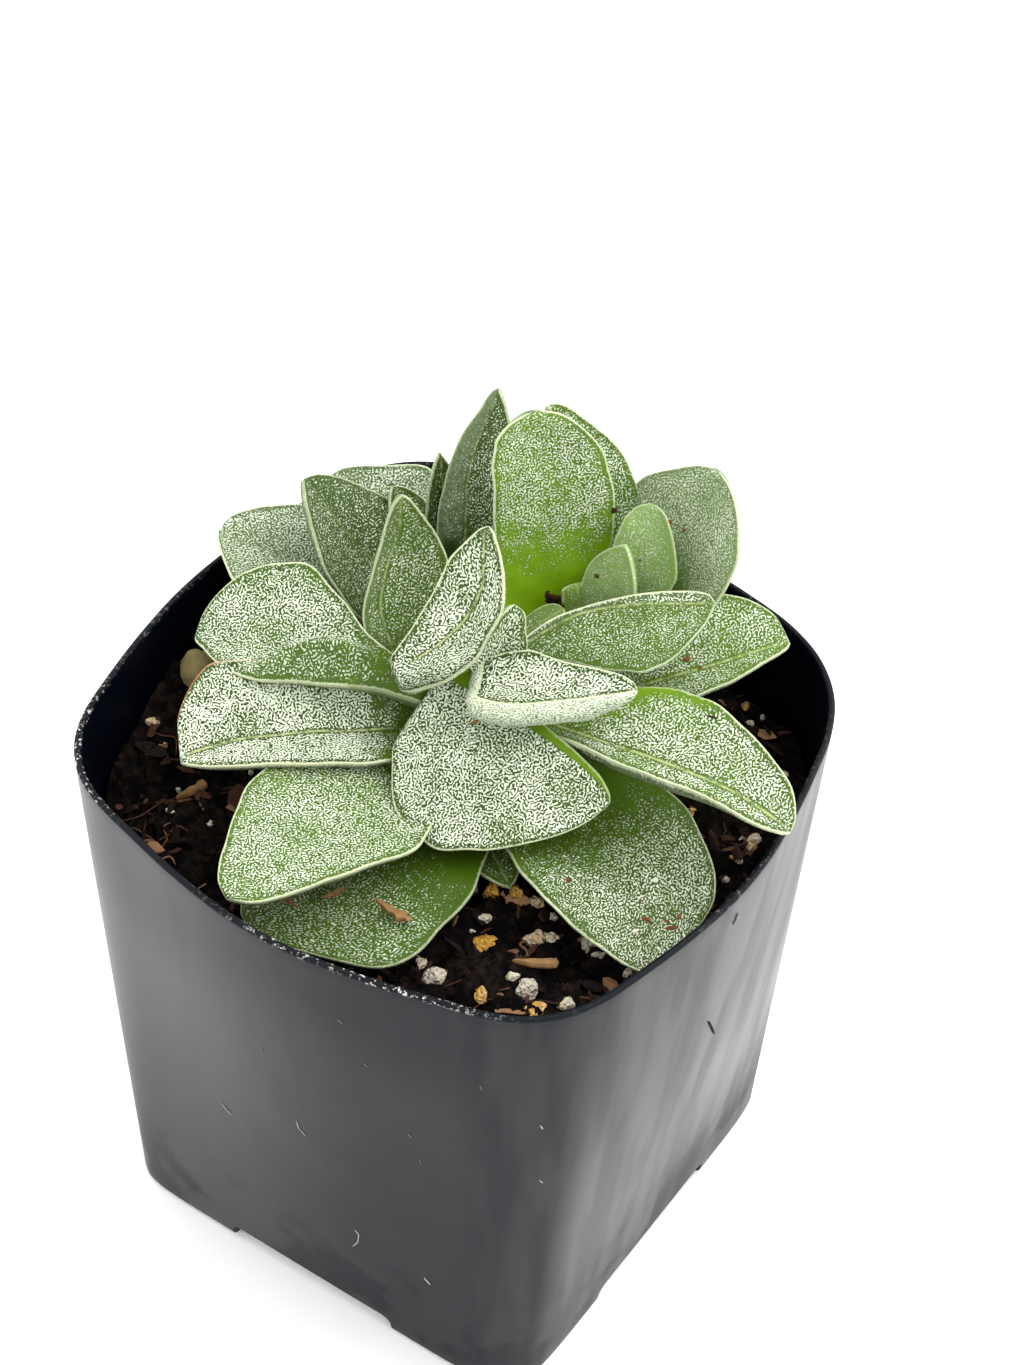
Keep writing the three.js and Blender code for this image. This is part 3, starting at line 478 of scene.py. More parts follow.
def ground(x, y):
    """The soil's relief with the piled mix on it."""
    return soil_height(x, y) + heap_height(x, y)


def view_axes():
    """The camera's right, up and backward directions: its azimuth, its elevation and a small roll."""
    back = np.array([math.sin(VIEW_AZIMUTH) * math.cos(VIEW_ELEVATION),
                     -math.cos(VIEW_AZIMUTH) * math.cos(VIEW_ELEVATION), math.sin(VIEW_ELEVATION)])
    right = np.cross(-back, [0, 0, 1])
    right /= np.linalg.norm(right)
    upward = np.cross(right, -back)
    rolled_right = math.cos(VIEW_ROLL) * right + math.sin(VIEW_ROLL) * upward
    rolled_up = -math.sin(VIEW_ROLL) * right + math.cos(VIEW_ROLL) * upward
    return rolled_right, rolled_up, back


# Meshes


def tube(rings, start=None, end=None):
    """A closed surface's corners and faces: quads between rings that close on themselves, and a fan to a
    pole at each end, which is the middle of the ring there unless it is given."""
    rows, columns = rings.shape[:2]
    start, end = rings[0].mean(0) if start is None else start, rings[-1].mean(0) if end is None else end
    corners = np.vstack([rings.reshape(-1, 3), start, end])
    index = np.arange(rows * columns).reshape(rows, columns)
    after = np.roll(index, -1, axis=1)
    quads = np.stack([index[:-1], after[:-1], after[1:], index[1:]], -1).reshape(-1, 4)
    first = np.stack([np.full(columns, rows * columns), after[0], index[0]], -1)
    last = np.stack([np.full(columns, rows * columns + 1), index[-1], after[-1]], -1)
    return corners, [quads, np.vstack([first, last])]


def tube_map(uv):
    """The map of a tube's faces. uv has one column more than the rings, so that the seam lies between the
    last point and the first, and a pole takes the middle of each edge that runs to it."""
    here, there = uv[:, :-1], uv[:, 1:]
    quads = np.stack([here[:-1], there[:-1], there[1:], here[1:]], -2).reshape(-1, 4, 2)
    first = np.stack([(here[0] + there[0]) / 2, there[0], here[0]], -2)
    last = np.stack([(here[-1] + there[-1]) / 2, here[-1], there[-1]], -2)
    return [quads, np.vstack([first, last])]


def outward(corners, faces, uv=None):
    """Corners, faces and map, with the faces turned over where the volume that they enclose is negative."""
    total = 0.0
    for group in faces:
        for step in range(1, group.shape[1] - 1):
            one, two, three = corners[group[:, 0]], corners[group[:, step]], corners[group[:, step + 1]]
            total += np.einsum("ij,ij->", one, np.cross(two, three))
    if total < 0:
        faces = [group[:, ::-1] for group in faces]
        uv = None if uv is None else [group[:, ::-1] for group in uv]
    return corners, faces, uv


def mark(mesh, label, numbers):
    """Gives each corner of a mesh a value that its material reads."""
    layer = mesh.attributes.new(label, "FLOAT", "POINT")
    layer.data.foreach_set("value", np.broadcast_to(numbers, len(mesh.vertices)).astype(np.float32))


def smoothed(mesh, crease=None):
    """The mesh, smooth all over, or else sharp at the edges that bend more than crease, in degrees."""
    mesh.polygons.foreach_set("use_smooth", np.ones(len(mesh.polygons), bool))
    if crease is not None:
        mesh.set_sharp_from_angle(angle=math.radians(crease))
    return mesh


def make_mesh(name, shape, uv=None, values=None, crease=None):
    """A mesh from a shape, which is corners in millimetres and arrays of faces, pointed outwards, with its
    map and the values that its material reads."""
    corners, faces, uv = outward(*shape, uv)
    mesh = bpy.data.meshes.new(name)
    sizes = np.concatenate([np.full(len(group), group.shape[1]) for group in faces])
    loops = np.concatenate([group.ravel() for group in faces]).astype(np.int32)
    mesh.vertices.add(len(corners))
    mesh.vertices.foreach_set("co", (corners * MM).astype(np.float32).ravel())
    mesh.loops.add(len(loops))
    mesh.loops.foreach_set("vertex_index", loops)
    mesh.polygons.add(len(sizes))
    mesh.polygons.foreach_set("loop_start", (np.cumsum(sizes) - sizes).astype(np.int32))
    if uv is not None:
        flat = np.concatenate([group.reshape(-1, 2) for group in uv]).astype(np.float32)
        mesh.uv_layers.new(name="UVMap").uv.foreach_set("vector", flat.ravel())
    mesh.update(calc_edges=True)
    mesh.validate()
    for label, numbers in (values or {}).items():
        mark(mesh, label, numbers)
    return smoothed(mesh, crease)


def joined(shapes):
    """Many small closed shapes as one."""
    corners, faces, base = [], {}, 0
    for points, groups in shapes:
        corners.append(points)
        for group in groups:
            faces.setdefault(group.shape[1], []).append(group + base)
        base += len(points)
    return np.vstack(corners), [np.vstack(groups) for groups in faces.values()]


def place(name, mesh, material, slot, *nodes):
    """A finished piece: its object rides on the model's body and stands for its nodes, which are hidden. slot
    is not used.
    """
    if name in bpy.data.objects:
        raise RuntimeError(f"there already is a piece named {name}")
    piece = bpy.data.objects.new(name, mesh)
    bpy.context.scene.collection.objects.link(piece)
    mesh.materials.clear()
    mesh.materials.append(material)
    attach(piece, BODY)
    if nodes:
        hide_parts(*nodes)


def place_bits(name, bits, material, slot, *nodes, crease=None):
    """One finished piece of small closed shapes. bits holds each shape with its tint."""
    tints = np.concatenate([np.full(len(shape[0]), tint) for shape, tint in bits])
    mesh = make_mesh(name, joined([shape for shape, _ in bits]), values={"tint": tints}, crease=crease)
    place(name, mesh, material, slot, *nodes)


def cut(name, body, tools):
    """body with the tools taken away, as a new mesh. All are meshes of closed shapes."""
    helpers = [bpy.data.objects.new(name, mesh) for mesh in (body, *tools)]
    for helper in helpers:
        bpy.context.scene.collection.objects.link(helper)
    for helper in helpers[1:]:
        step = helpers[0].modifiers.new("cut", "BOOLEAN")
        step.operation, step.solver, step.object = "DIFFERENCE", "MANIFOLD", helper
    bpy.context.view_layer.update()
    result = bpy.data.meshes.new_from_object(helpers[0].evaluated_get(bpy.context.evaluated_depsgraph_get()))
    for helper in helpers:
        bpy.data.objects.remove(helper)
    if not result.polygons:
        raise RuntimeError(f"{name} is empty after its cuts")
    return result


def numbers_of(items, key, kind=np.float32, wide=3):
    """One property of all of a mesh's items, as an array with a row for each."""
    numbers = np.empty(len(items) * wide, kind)
    items.foreach_get(key, numbers)
    return numbers.reshape(-1, wide)


def shrunk(mesh, depth):
    """A copy of a closed mesh with every corner moved inwards along its normal, depth in millimetres."""
    copy = mesh.copy()
    moved = numbers_of(mesh.vertices, "co") - numbers_of(mesh.vertex_normals, "vector") * depth * MM
    copy.vertices.foreach_set("co", moved.ravel())
    copy.update()
    return copy


def largest_part(mesh):
    """The mesh without the smaller loose parts that cuts have left. Every corner takes the lowest number
    among its neighbours until nothing changes, which numbers the parts."""
    one, two = numbers_of(mesh.edges, "vertices", np.int32, 2).T
    label, before = np.arange(len(mesh.vertices)), None
    while not np.array_equal(label, before):
        before = label.copy()
        lowest = np.minimum(label[one], label[two])
        np.minimum.at(label, one, lowest)
        np.minimum.at(label, two, lowest)
        label = label[label]
    names, counts = np.unique(label, return_counts=True)
    if len(names) > 1:
        shape = bmesh.new()
        shape.from_mesh(mesh)
        shape.verts.ensure_lookup_table()
        spare = [shape.verts[number] for number in np.flatnonzero(label != names[counts.argmax()])]
        bmesh.ops.delete(shape, geom=spare, context="VERTS")
        shape.to_mesh(mesh)
        shape.free()
    return mesh


# Shader nodes


class Wire:
    """A node's output. Arithmetic on it adds Math nodes."""

    def __init__(self, board, socket):
        self.board, self.socket = board, socket

    def __add__(self, other):
        return self.board.math("ADD", self, other)

    def __sub__(self, other):
        return self.board.math("SUBTRACT", self, other)

    def __rsub__(self, other):
        return self.board.math("SUBTRACT", other, self)

    def __mul__(self, other):
        return self.board.math("MULTIPLY", self, other)

    def __rtruediv__(self, other):
        return self.board.math("DIVIDE", other, self)

    __radd__, __rmul__ = __add__, __mul__

    def clamped(self):
        """The same output of a Math node, held between 0 and 1."""
        self.socket.node.use_clamp = True
        return self


class Board:
    """A node tree being wired. All its methods but add, feed and surface give wires."""

    def __init__(self, tree, material=None):
        self.tree, self.material = tree, material

    def add(self, kind, feeds=None, **settings):
        """Places a node and feeds its sockets with wires, numbers or colours."""
        node = self.tree.nodes.new(kind if kind.startswith("Node") else f"ShaderNode{kind}")
        for key, value in settings.items():
            setattr(node, key, value)
        for socket, value in (feeds or {}).items():
            self.feed(node.inputs[socket], value)
        return node

    def feed(self, socket, value):
        """Links a wire to a socket, or sets the socket."""
        if isinstance(value, Wire):
            self.tree.links.new(value.socket, socket)
        else:
            socket.default_value = value

    def surface(self, feeds):
        """Ends a material: feeds its Principled shader, and gives the material."""
        shader = self.add("BsdfPrincipled", feeds)
        self.add("OutputMaterial", {"Surface": Wire(self, shader.outputs[0])})
        return self.material

    def out(self, kind, feeds=None, output=0, **settings):
        """One output of a new node."""
        return Wire(self, self.add(kind, feeds, **settings).outputs[output])

    def math(self, operation, first, second=0.0):
        """A sum, product or other operation on two numbers."""
        return self.out("Math", {0: first, 1: second}, operation=operation)

    def mix(self, share, first, second):
        """Two colours mixed."""
        return self.out("Mix", {0: share, 6: first, 7: second}, 2, data_type="RGBA")

    def blend(self, share, first, second):
        """Two numbers mixed."""
        return self.out("Mix", {0: share, 2: first, 3: second}, data_type="FLOAT")

    def ease(self, value, low, high, start=0.0, end=1.0):
        """A smooth step from start at low to end at high."""
        feeds = {"Value": value, "From Min": low, "From Max": high, "To Min": start, "To Max": end}
        return self.out("MapRange", feeds, interpolation_type="SMOOTHSTEP")

    def noise(self, vector, scale, detail=2.0, roughness=0.5, distortion=0.0, output=0):
        """Soft noise, whose scale is the number of its cells in a metre."""
        feeds = {"Vector": vector, "Scale": scale, "Detail": detail, "Roughness": roughness,
                 "Distortion": distortion}
        return self.out("TexNoise", feeds, output)

    def value(self, name):
        """A value that the mesh's corners carry."""
        return self.out("Attribute", output="Fac", attribute_name=name)

    def spot(self):
        """The place on the object, in metres."""
        return self.out("TexCoord", output="Object")

    def uv(self):
        """The place on the map."""
        return self.out("UVMap", uv_map="UVMap")

    def axes(self, vector):
        """A place's three numbers."""
        return [Wire(self, socket) for socket in self.add("SeparateXYZ", {0: vector}).outputs]

    def group(self, shared, feeds):
        """The outputs of a shared group, by name."""
        node = self.add("Group", node_tree=shared)
        for socket, value in feeds.items():
            self.feed(node.inputs[socket], value)
        return {socket.name: Wire(self, socket) for socket in node.outputs}

    def bump(self, height, distance, strength=1.0):
        """The normal over a relief."""
        return self.out("Bump", {"Strength": strength, "Distance": distance, "Height": height})


def open_board(name):
    """The board of a new material."""
    material = bpy.data.materials.new(name)
    material.use_nodes = True
    material.node_tree.nodes.clear()
    return Board(material.node_tree, material)


def shared_group(name, inputs, outputs, wire):
    """A shader node group, built once. inputs are (name, kind, default) and outputs (name, kind). wire
    takes the board and the inputs' wires, and gives the outputs' wires."""
    found = bpy.data.node_groups.get(name)
    if found:
        return found
    tree = bpy.data.node_groups.new(name, "ShaderNodeTree")
    for label, kind, default in inputs:
        socket = tree.interface.new_socket(label, in_out="INPUT", socket_type=f"NodeSocket{kind}")
        if default is not None:
            socket.default_value = default
    for label, kind in outputs:
        tree.interface.new_socket(label, in_out="OUTPUT", socket_type=f"NodeSocket{kind}")
    board = Board(tree)
    wires = [Wire(board, socket) for socket in board.add("NodeGroupInput").outputs[:len(inputs)]]
    out = board.add("NodeGroupOutput")
    for socket, source in zip(out.inputs, wire(board, *wires)):
        board.feed(socket, source)
    return tree


def papillae():
    """White papillae in a maze: a Gabor pattern on the leaf's own map, bent a little by noise, and cut off
    lower where the cover is fuller. Softer noise makes some patches fuller than others."""
    def wire(board, vector, scale, cover):
        wander = board.noise(vector, scale * 1.4, 1.0, output="Color")
        wander = board.out("VectorMath", {0: wander, 1: (0.5, 0.5, 0.5)}, operation="SUBTRACT")
        wander = board.out("VectorMath", {0: wander, "Scale": 0.9 / scale}, operation="SCALE")
        bent = board.out("VectorMath", {0: vector, 1: wander}, operation="ADD")
        maze = {"Vector": bent, "Scale": scale, "Frequency": 2.0, "Anisotropy": 0.0}
        gabor = board.out("TexGabor", maze, "Value")
        patch = (board.noise(vector, 9.0, 2.0, 0.6) - 0.5) * 0.16
        limit = 0.71 - cover * 0.3 + patch
        mask = board.ease(gabor, limit - 0.02, limit + 0.02)
        return mask * board.ease(cover, 0.02, 0.12), gabor

    inputs = (("Vector", "Vector", None), ("Scale", "Float", 10.0), ("Cover", "Float", 0.6))
    return shared_group("papillae", inputs, (("Mask", "Float"), ("Height", "Float")), wire)


def mottle():
    """Two colours mixed in soft clouds, with finer clouds inside them."""
    def wire(board, vector, scale, amount, first, second):
        cloud = board.ease(board.noise(vector, scale, 3.0, 0.6), 0.35, 0.65)
        return (board.mix(cloud * amount, first, second),)

    inputs = (("Vector", "Vector", None), ("Scale", "Float", 200.0), ("Amount", "Float", 1.0),
              ("First", "Color", None), ("Second", "Color", None))
    return shared_group("mottle", inputs, (("Color", "Color"),), wire)


def scuffs():
    """Broken patches where something has rubbed: noise over a threshold that falls as the amount rises."""
    def wire(board, vector, scale, amount):
        limit = 0.78 - amount * 0.4
        return (board.ease(board.noise(vector, scale, 4.0, 0.7, 0.4), limit, limit + 0.06),)

    inputs = (("Vector", "Vector", None), ("Scale", "Float", 900.0), ("Amount", "Float", 0.5))
    return shared_group("scuffs", inputs, (("Mask", "Float"),), wire)


def leaf_material(name, settings, pitch):
    """Leaf skin: green that is fresher or deeper by place, the deeper partly painted shade, waxy bloom, a
    maze of white papillae with the given pitch, painted shade in the skin between them where they are fuller,
    a pale midline, a pale toothed margin with a greener band inside it, and a smoother underside."""
    board = open_board(name)
    spot, uv = board.spot(), board.uv()
    edge, cover, vein = board.value("edge"), board.value("cover"), board.value("vein")
    off_middle = board.math("ABSOLUTE", board.axes(uv)[0])
    dark = settings.deep_green

    green = board.mix(board.value("fresh"), settings.green, settings.fresh_green)
    # deep is partly each leaf's own deeper green and partly painted shade, at the heels and on leaves under
    # others
    green = board.mix(board.value("deep"), green, dark)
    clouds = {"Vector": spot, "Scale": 420.0, "Amount": 0.35, "First": green,
              "Second": board.mix(0.45, green, dark)}
    # Painted shade between the papillae: where the cover is fuller, the skin between them is mixed towards
    # the deep green
    skin = board.mix(board.ease(cover, 0.5, 0.85, 0.0, 0.75), board.group(mottle(), clouds)["Color"], dark)
    powder = board.ease(board.noise(spot, 2400.0, 3.0, 0.7), 0.3, 0.7, 0.5, 1.25)
    skin = board.mix((board.value("bloom") * powder).clamped(), skin, settings.bloom)

    # The maze is thinner underneath, in the green band inside the margin and beside the midline
    beneath = board.ease(edge * -1.0, 0.0, 0.25)
    band = board.ease(edge, 0.12, 0.25) * board.ease(edge, 0.4, 0.95, 1.0, 0.0)
    bare_line = board.ease(off_middle, 0.022, 0.05, 1.0, 0.0) * vein
    upper = cover - beneath * 0.3 - band * 0.28 - bare_line * 0.35
    maze = {"Vector": uv, "Scale": UV_UNIT * MM / (MAZE_PERIODS * pitch), "Cover": upper}
    maze = board.group(papillae(), maze)
    skin = board.mix(maze["Mask"] * board.ease(upper, 0.0, 0.8, 0.4, 1.0), skin, settings.papillae)

    line = board.ease(off_middle, 0.005, 0.022, 1.0, 0.0) * vein
    line = line * board.ease(board.noise(spot, 1300.0, 2.0), 0.36, 0.56, 0.25, 1.0)
    skin = board.mix(line * 0.8, skin, settings.vein)

    rim_width = settings.rim_width / MM
    width = board.noise(spot, 2600.0, 1.0) * (rim_width * 1.4) + rim_width * 0.4
    width = width * board.ease(edge, -0.02, 0.02, 0.35, 1.0)
    rim = board.ease(board.math("ABSOLUTE", edge), width * 0.6, width, 1.0, 0.0)
    rim = rim * board.ease(cover, 0.35, 0.65, 0.42, 0.95)
    skin = board.mix(rim, skin, board.mix(board.value("blush"), settings.rim, shade(150, 96, 70)))
    return board.surface({
        "Base Color": skin, "Roughness": maze["Mask"] * 0.25 + 0.42,
        "Normal": board.bump(maze["Mask"] + maze["Height"] * 0.4, 0.00009, 0.9), "Specular IOR Level": 0.12,
        "Subsurface Weight": 0.08, "Subsurface Radius": (0.6, 1.0, 0.3), "Subsurface Scale": 0.0012})


def plastic_material(settings):
    """Matt black moulded plastic: cloudy gloss, faint upright streaks and a scuffed lip. A thin clear film
    over it makes the gloss. How much film there is by place is painted sheen where reflections of the light
    fall, less in blots towards the foot and on the lip's top, and inside the pot the plastic is painted
    darker, with painted shade."""
    board = open_board("black_plastic")
    spot, inside = board.spot(), board.value("inside")
    axes = dict(zip("xyz", board.axes(spot)))
    lip = [(POT_HEIGHT - depth) * MM for depth in (0.55, 0.5, 0.25, 0.1)]
    upright = board.out("Mapping", {"Vector": spot, "Scale": (1.0, 1.0, 0.12)})
    streaks = board.noise(upright, 420.0, 3.0, 0.6)

    clouds = {"Vector": spot, "Scale": 60.0, "Amount": 0.6, "First": settings.plastic,
              "Second": settings.dusty}
    colour = board.group(mottle(), clouds)["Color"]
    # Painted shade: the walls inside the pot are painted near black
    colour = board.mix(board.ease(inside, 0.4, 0.6), colour, (0.0004, 0.0010, 0.0034, 1))
    worn = board.group(scuffs(), {"Vector": spot, "Scale": 1800.0, "Amount": settings.wear})["Mask"]
    patches = board.ease(board.noise(spot, 45.0, 1.0), 0.36, 0.52)
    patches = patches * board.ease(axes["y"], -0.026, -0.014, 1.0, 0.12)
    colour = board.mix(worn * board.ease(axes["z"], lip[0], lip[3]) * patches, colour, shade(190, 190, 184))

    def painted_sheen_rows(rows):
        """The product of the rows' painted sheen."""
        first, *rest = [board.ease(axes[axis], *ends) for axis, *ends in rows]
        return math.prod(rest, start=first)

    # Painted sheen where reflections of the light fall: it changes with height on each face, falls towards
    # the right on the left face, has brighter upright streaks on the right face, and is less at its front
    # corner
    right = board.blend(board.ease(axes["y"], -0.024, -0.018), CORNER_PAINTED_SHEEN, painted_sheen_rows(RIGHT_PAINTED_SHEEN))
    right = right * board.ease(board.noise(upright, 260.0, 2.0), 0.35, 0.65, 0.87, 1.2)
    painted_sheen = board.blend(board.ease(axes["x"], 0.018, 0.024), painted_sheen_rows(LEFT_PAINTED_SHEEN), right)
    # Less painted sheen in blots towards the foot and on the lip's top
    blots = board.ease(board.noise(spot, 130.0, 2.0), 0.46, 0.6)
    blots = blots * board.ease(axes["z"], 0.006, 0.018, 0.30, 0.0)
    dark_lip = board.ease(axes["z"], lip[1], lip[2], 1.0, 0.3)
    # Painted shade inside the pot: most of the painted sheen is taken away there
    shade_inside = board.ease(inside, 0.4, 0.6, 1.0, 0.15)
    painted_sheen = painted_sheen * (1.0 - blots) * board.math("MINIMUM", dark_lip, shade_inside)
    return board.surface({
        "Base Color": colour, "Roughness": board.noise(spot, 35.0, 3.0, 0.6) * 0.22 + 0.3 + streaks * 0.08,
        "Normal": board.bump(streaks * 0.6 + board.noise(spot, 1500.0, 2.0), 0.00004, 0.35), "IOR": 1.42,
        "Specular IOR Level": 0.12, "Coat Weight": (painted_sheen * 0.98 - 0.36).clamped(), "Coat Roughness": 0.4,
        "Coat IOR": 1.45})


def mix_material(settings):
    """Moist potting mix: near-black crumbs with browner bits and fibres in them."""
    board = open_board("potting_mix")
    spot = board.spot()
    crumbs = board.noise(spot, 900.0, 5.0, 0.65)
    share = board.ease(crumbs * (board.noise(spot, 180.0, 3.0, 0.6) + 0.5), 0.42, 0.72)
    return board.surface({
        "Base Color": board.mix(share, settings.peat, settings.peat_light),
        "Roughness": board.ease(crumbs, 0.3, 0.7, 0.7, 0.98), "Normal": board.bump(crumbs, 0.0004, 0.8),
        "Specular IOR Level": 0.04})


def bit_material(name, dark, middle, light, grain_scale, relief):
    """Loose bits whose own tint runs from dark through middle to light, with a fibrous grain."""
    board = open_board(name)
    grain = board.noise(board.spot(), grain_scale, 3.0, 0.6)
    share = (board.value("tint") + (grain - 0.5) * 0.5).clamped()
    colour = board.mix(board.ease(share, 0.0, 0.5), shade(*dark), shade(*middle))
    return board.surface({
        "Base Color": board.mix(board.ease(share, 0.5, 1.0), colour, shade(*light)),
        "Roughness": board.ease(grain, 0.2, 0.8, 0.7, 0.95), "Normal": board.bump(grain, relief, 0.7),
        "Specular IOR Level": 0.08})


def perlite_material():
    """Puffed mineral, made once: white and porous, with yellow and brown stains by the grain's own tint."""
    if "puffed_perlite" in bpy.data.materials:
        return bpy.data.materials["puffed_perlite"]
    board = open_board("puffed_perlite")
    spot = board.spot()
    pores = board.out("TexVoronoi", {"Vector": spot, "Scale": 2600.0}, "Distance")
    cloud = board.noise(spot, 700.0, 3.0, 0.6)
    stain = board.ease(board.value("tint") * 1.5 - cloud * 0.8, -0.1, 0.6)
    dirt = board.ease(board.noise(spot, 1100.0, 3.0, 0.7), 0.58, 0.7) * 0.6
    colour = board.mix(stain, shade(196, 188, 168), shade(192, 144, 62))
    return board.surface({
        "Base Color": board.mix(dirt, colour, shade(96, 72, 44)),
        "Roughness": board.ease(cloud, 0.2, 0.8, 0.75, 0.95),
        "Normal": board.bump(pores + cloud * 0.8, 0.0004, 0.9), "Specular IOR Level": 0.1})


def stem_material():
    """Short fleshy stem: pale green above, brown and corky towards the soil, with paler old specks."""
    board = open_board("stem_skin")
    spot = board.spot()
    cork = board.ease(board.axes(spot)[2], 0.054, 0.064, 1.0, 0.0)
    speckle = board.noise(spot, 900.0, 4.0, 0.6)
    colour = board.mix(cork, shade(128, 148, 70), shade(104, 86, 58))
    return board.surface({
        "Base Color": board.mix(board.ease(speckle, 0.45, 0.7), colour, shade(170, 165, 120)),
        "Roughness": board.ease(speckle, 0.3, 0.7, 0.5, 0.75), "Normal": board.bump(speckle, 0.0002, 0.6),
        "Specular IOR Level": 0.1})


def floor_material(settings):
    """Plain pale matt floor with the faintest unevenness."""
    board = open_board("pale_floor")
    cloud = board.noise(board.spot(), 6.0, 2.0) * 0.04
    return board.surface({"Base Color": board.mix(cloud, settings.floor, shade(225, 225, 222)),
                          "Roughness": 0.8, "Specular IOR Level": 0.2})


# Shapes


def curved(rings, steps):
    """Closed rings of few points as smooth rings of many: a cubic through each pair of neighbours that
    leaves them in the direction of the points on either side."""
    count = rings.shape[1]
    at = np.arange(steps) * count / steps
    index = at.astype(int)
    share = (at - index)[:, None]
    before, one, two, after = [rings[:, (index + step) % count] for step in (-1, 0, 1, 2)]
    slope_one, slope_two = (two - before) / 2, (after - one) / 2
    return (one * (2 * share**3 - 3 * share**2 + 1) + slope_one * (share**3 - 2 * share**2 + share)
            + two * (3 * share**2 - 2 * share**3) + slope_two * (share**3 - share**2))


def pot_rings(heights, insets):
    """Sections of the pot, one per height, each drawn in by its inset: a rounded square whose flat sides
    bulge as parabolas, with every point moved to the mean of itself and its neighbours, and then a smooth
    closed curve through those points."""
    part = np.arange(RING_PARTS) / RING_PARTS
    angle = math.pi / 2 * part
    rings = []
    for height, inset in zip(heights, insets):
        share = height / POT_HEIGHT
        half = (FOOT_WIDTH + (POT_WIDTH - FOOT_WIDTH) * share) / 2 - inset
        radii = FOOT_CORNER + (RIM_CORNERS - FOOT_CORNER) * share - inset
        sides = []
        for side in range(4):
            before, after = radii[side - 1], radii[side]
            along = before - half + part * (2 * half - before - after)
            out = half + RIM_BULGES[side] * share * (1 - (2 * part - 1) ** 2)
            x = np.r_[out, half - after + after * np.cos(angle)]
            y = np.r_[along, half - after + after * np.sin(angle)]
            sides.append(turned(np.stack([x, y, np.full(len(x), height)], -1), 90 * side))
        ring = np.vstack(sides)
        rings.append(ring / 2 + (np.roll(ring, 1, axis=0) + np.roll(ring, -1, axis=0)) / 4)
    return curved(np.array(rings), RING_STEPS)


def notch_tools(name, margin):
    """Four blocks that lift the middle of each side off the ground: a low flat arch with rounded shoulders,
    carried inwards from outside the pot."""
    half, top, bend = NOTCH_HALF + margin, NOTCH_HEIGHT + margin, NOTCH_ROUNDING + margin
    angle = np.radians(np.linspace(0, 90, 7))
    right = np.stack([half - bend + bend * np.cos(angle), top - bend + bend * np.sin(angle)], -1)
    outline = np.vstack([[(half, -1.0)], right, right[::-1] * (-1, 1), [(-half, -1.0)]])
    rows = np.array([np.column_stack([np.full(len(outline), out), outline])
                     for out in (NOTCH_START - margin, POT_WIDTH)])
    return make_mesh(name, joined([outward(*tube(turned(rows, 90 * side)))[:2] for side in range(4)]))


def drain_tools():
    """Four upright rods for the drain holes."""
    rods = []
    for side in range(4):
        ring = circle(32) * DRAIN_RADIUS + turned(np.array([DRAIN_OFFSET, 0.0, 0.0]), 90 * side)
        rods.append(outward(*tube(np.array([ring, ring + (0, 0, 2 * NOTCH_HEIGHT)])))[:2])
    return make_mesh("drains", joined(rods))


def pot_mesh(lip):
    """The pot's wall: the outside loft, rounded at foot and lip, less the hollow, notches and holes."""
    quarter = np.radians(np.linspace(0, 90, 6))
    low, near = 1 - np.sin(quarter), 1 - np.cos(quarter)
    body = np.linspace(FOOT_ROUNDING, POT_HEIGHT - lip, 40)[1:-1]
    heights = np.r_[FOOT_ROUNDING * low[::-1], body, POT_HEIGHT - lip * low]
    insets = np.r_[FOOT_ROUNDING * near[::-1], np.zeros(len(body)), lip * near] + SKIN
    outside = make_mesh("pot_outside", tube(pot_rings(heights, insets)))
    wall = np.r_[FLOOR, np.linspace(FLOOR + 1, POT_HEIGHT - lip, 30)]
    inner = np.r_[wall, POT_HEIGHT - lip * low[1:], POT_HEIGHT + 1]
    flare = np.r_[np.zeros(len(wall)), lip * near[1:], lip]
    hollow = make_mesh("pot_hollow", tube(pot_rings(inner, WALL - flare)))
    hollow = cut("pot_hollow", hollow, [notch_tools("notches_inside", FLOOR)])
    mesh = cut("pot_wall", outside, [hollow, notch_tools("notches", 0.0), drain_tools()])
    spots, facing = numbers_of(mesh.vertices, "co"), numbers_of(mesh.vertices, "normal")
    mark(mesh, "inside", (spots[:, :2] * facing[:, :2]).sum(1) < 0)
    return smoothed(mesh, 40)


def crumbly(points, settings):
    """Height of a crust of crumbs at each point: the greatest of many low domes scattered at random, each
    of its own size, plus fine roughness."""
    draw = np.random.default_rng(CRUST_SEED)
    count = settings.crumbs
    angle, out = draw.uniform(0, TAU, count), SOIL_REACH * np.sqrt(draw.uniform(0, 1, count))
    x, y = out * np.cos(angle), out * np.sin(angle)
    size = settings.largest_crumb / MM * draw.uniform(0.25, 1, count) ** 1.5
    height = np.zeros(len(points))
    for at_x, at_y, radius in zip(x, y, size):
        away = (points[:, 0] - at_x) ** 2 + (points[:, 1] - at_y) ** 2
        near = away < radius * radius
        height[near] = np.maximum(height[near], 0.75 * radius * np.sqrt(1 - away[near] / radius**2))
    return height + ripple(points[:, :2], *CRUST_WAVES) + ripple(points[:, :2], *CRUST_GRIT)


def soil_mesh(settings):
    """The filling: a tapered block under a round grid of points, raised by the broad relief and the
    crumbs."""
    foot, edge = pot_rings([FLOOR + SOIL_GAP, SOIL_LEVEL], [WALL + SOIL_GAP] * 2)
    shares = np.linspace(1, 0.01, SOIL_RINGS) ** 0.75
    top = edge[None] * shares[:, None, None]
    rise = crumbly(top.reshape(-1, 3), settings).reshape(top.shape[:2])
    rise = rise * np.minimum(1, (1 - shares) * 60)[:, None]
    top[..., 2] = soil_height(top[..., 0], top[..., 1]) + rise - SOIL_SUNK
    below = foot + (edge - foot) * 0.04
    block = make_mesh("soil_block", tube(np.concatenate([foot[None], below[None], top])))
    return smoothed(cut("soil_bed", block, [notch_tools("notches_soil", FLOOR + SOIL_GAP)]), 50)


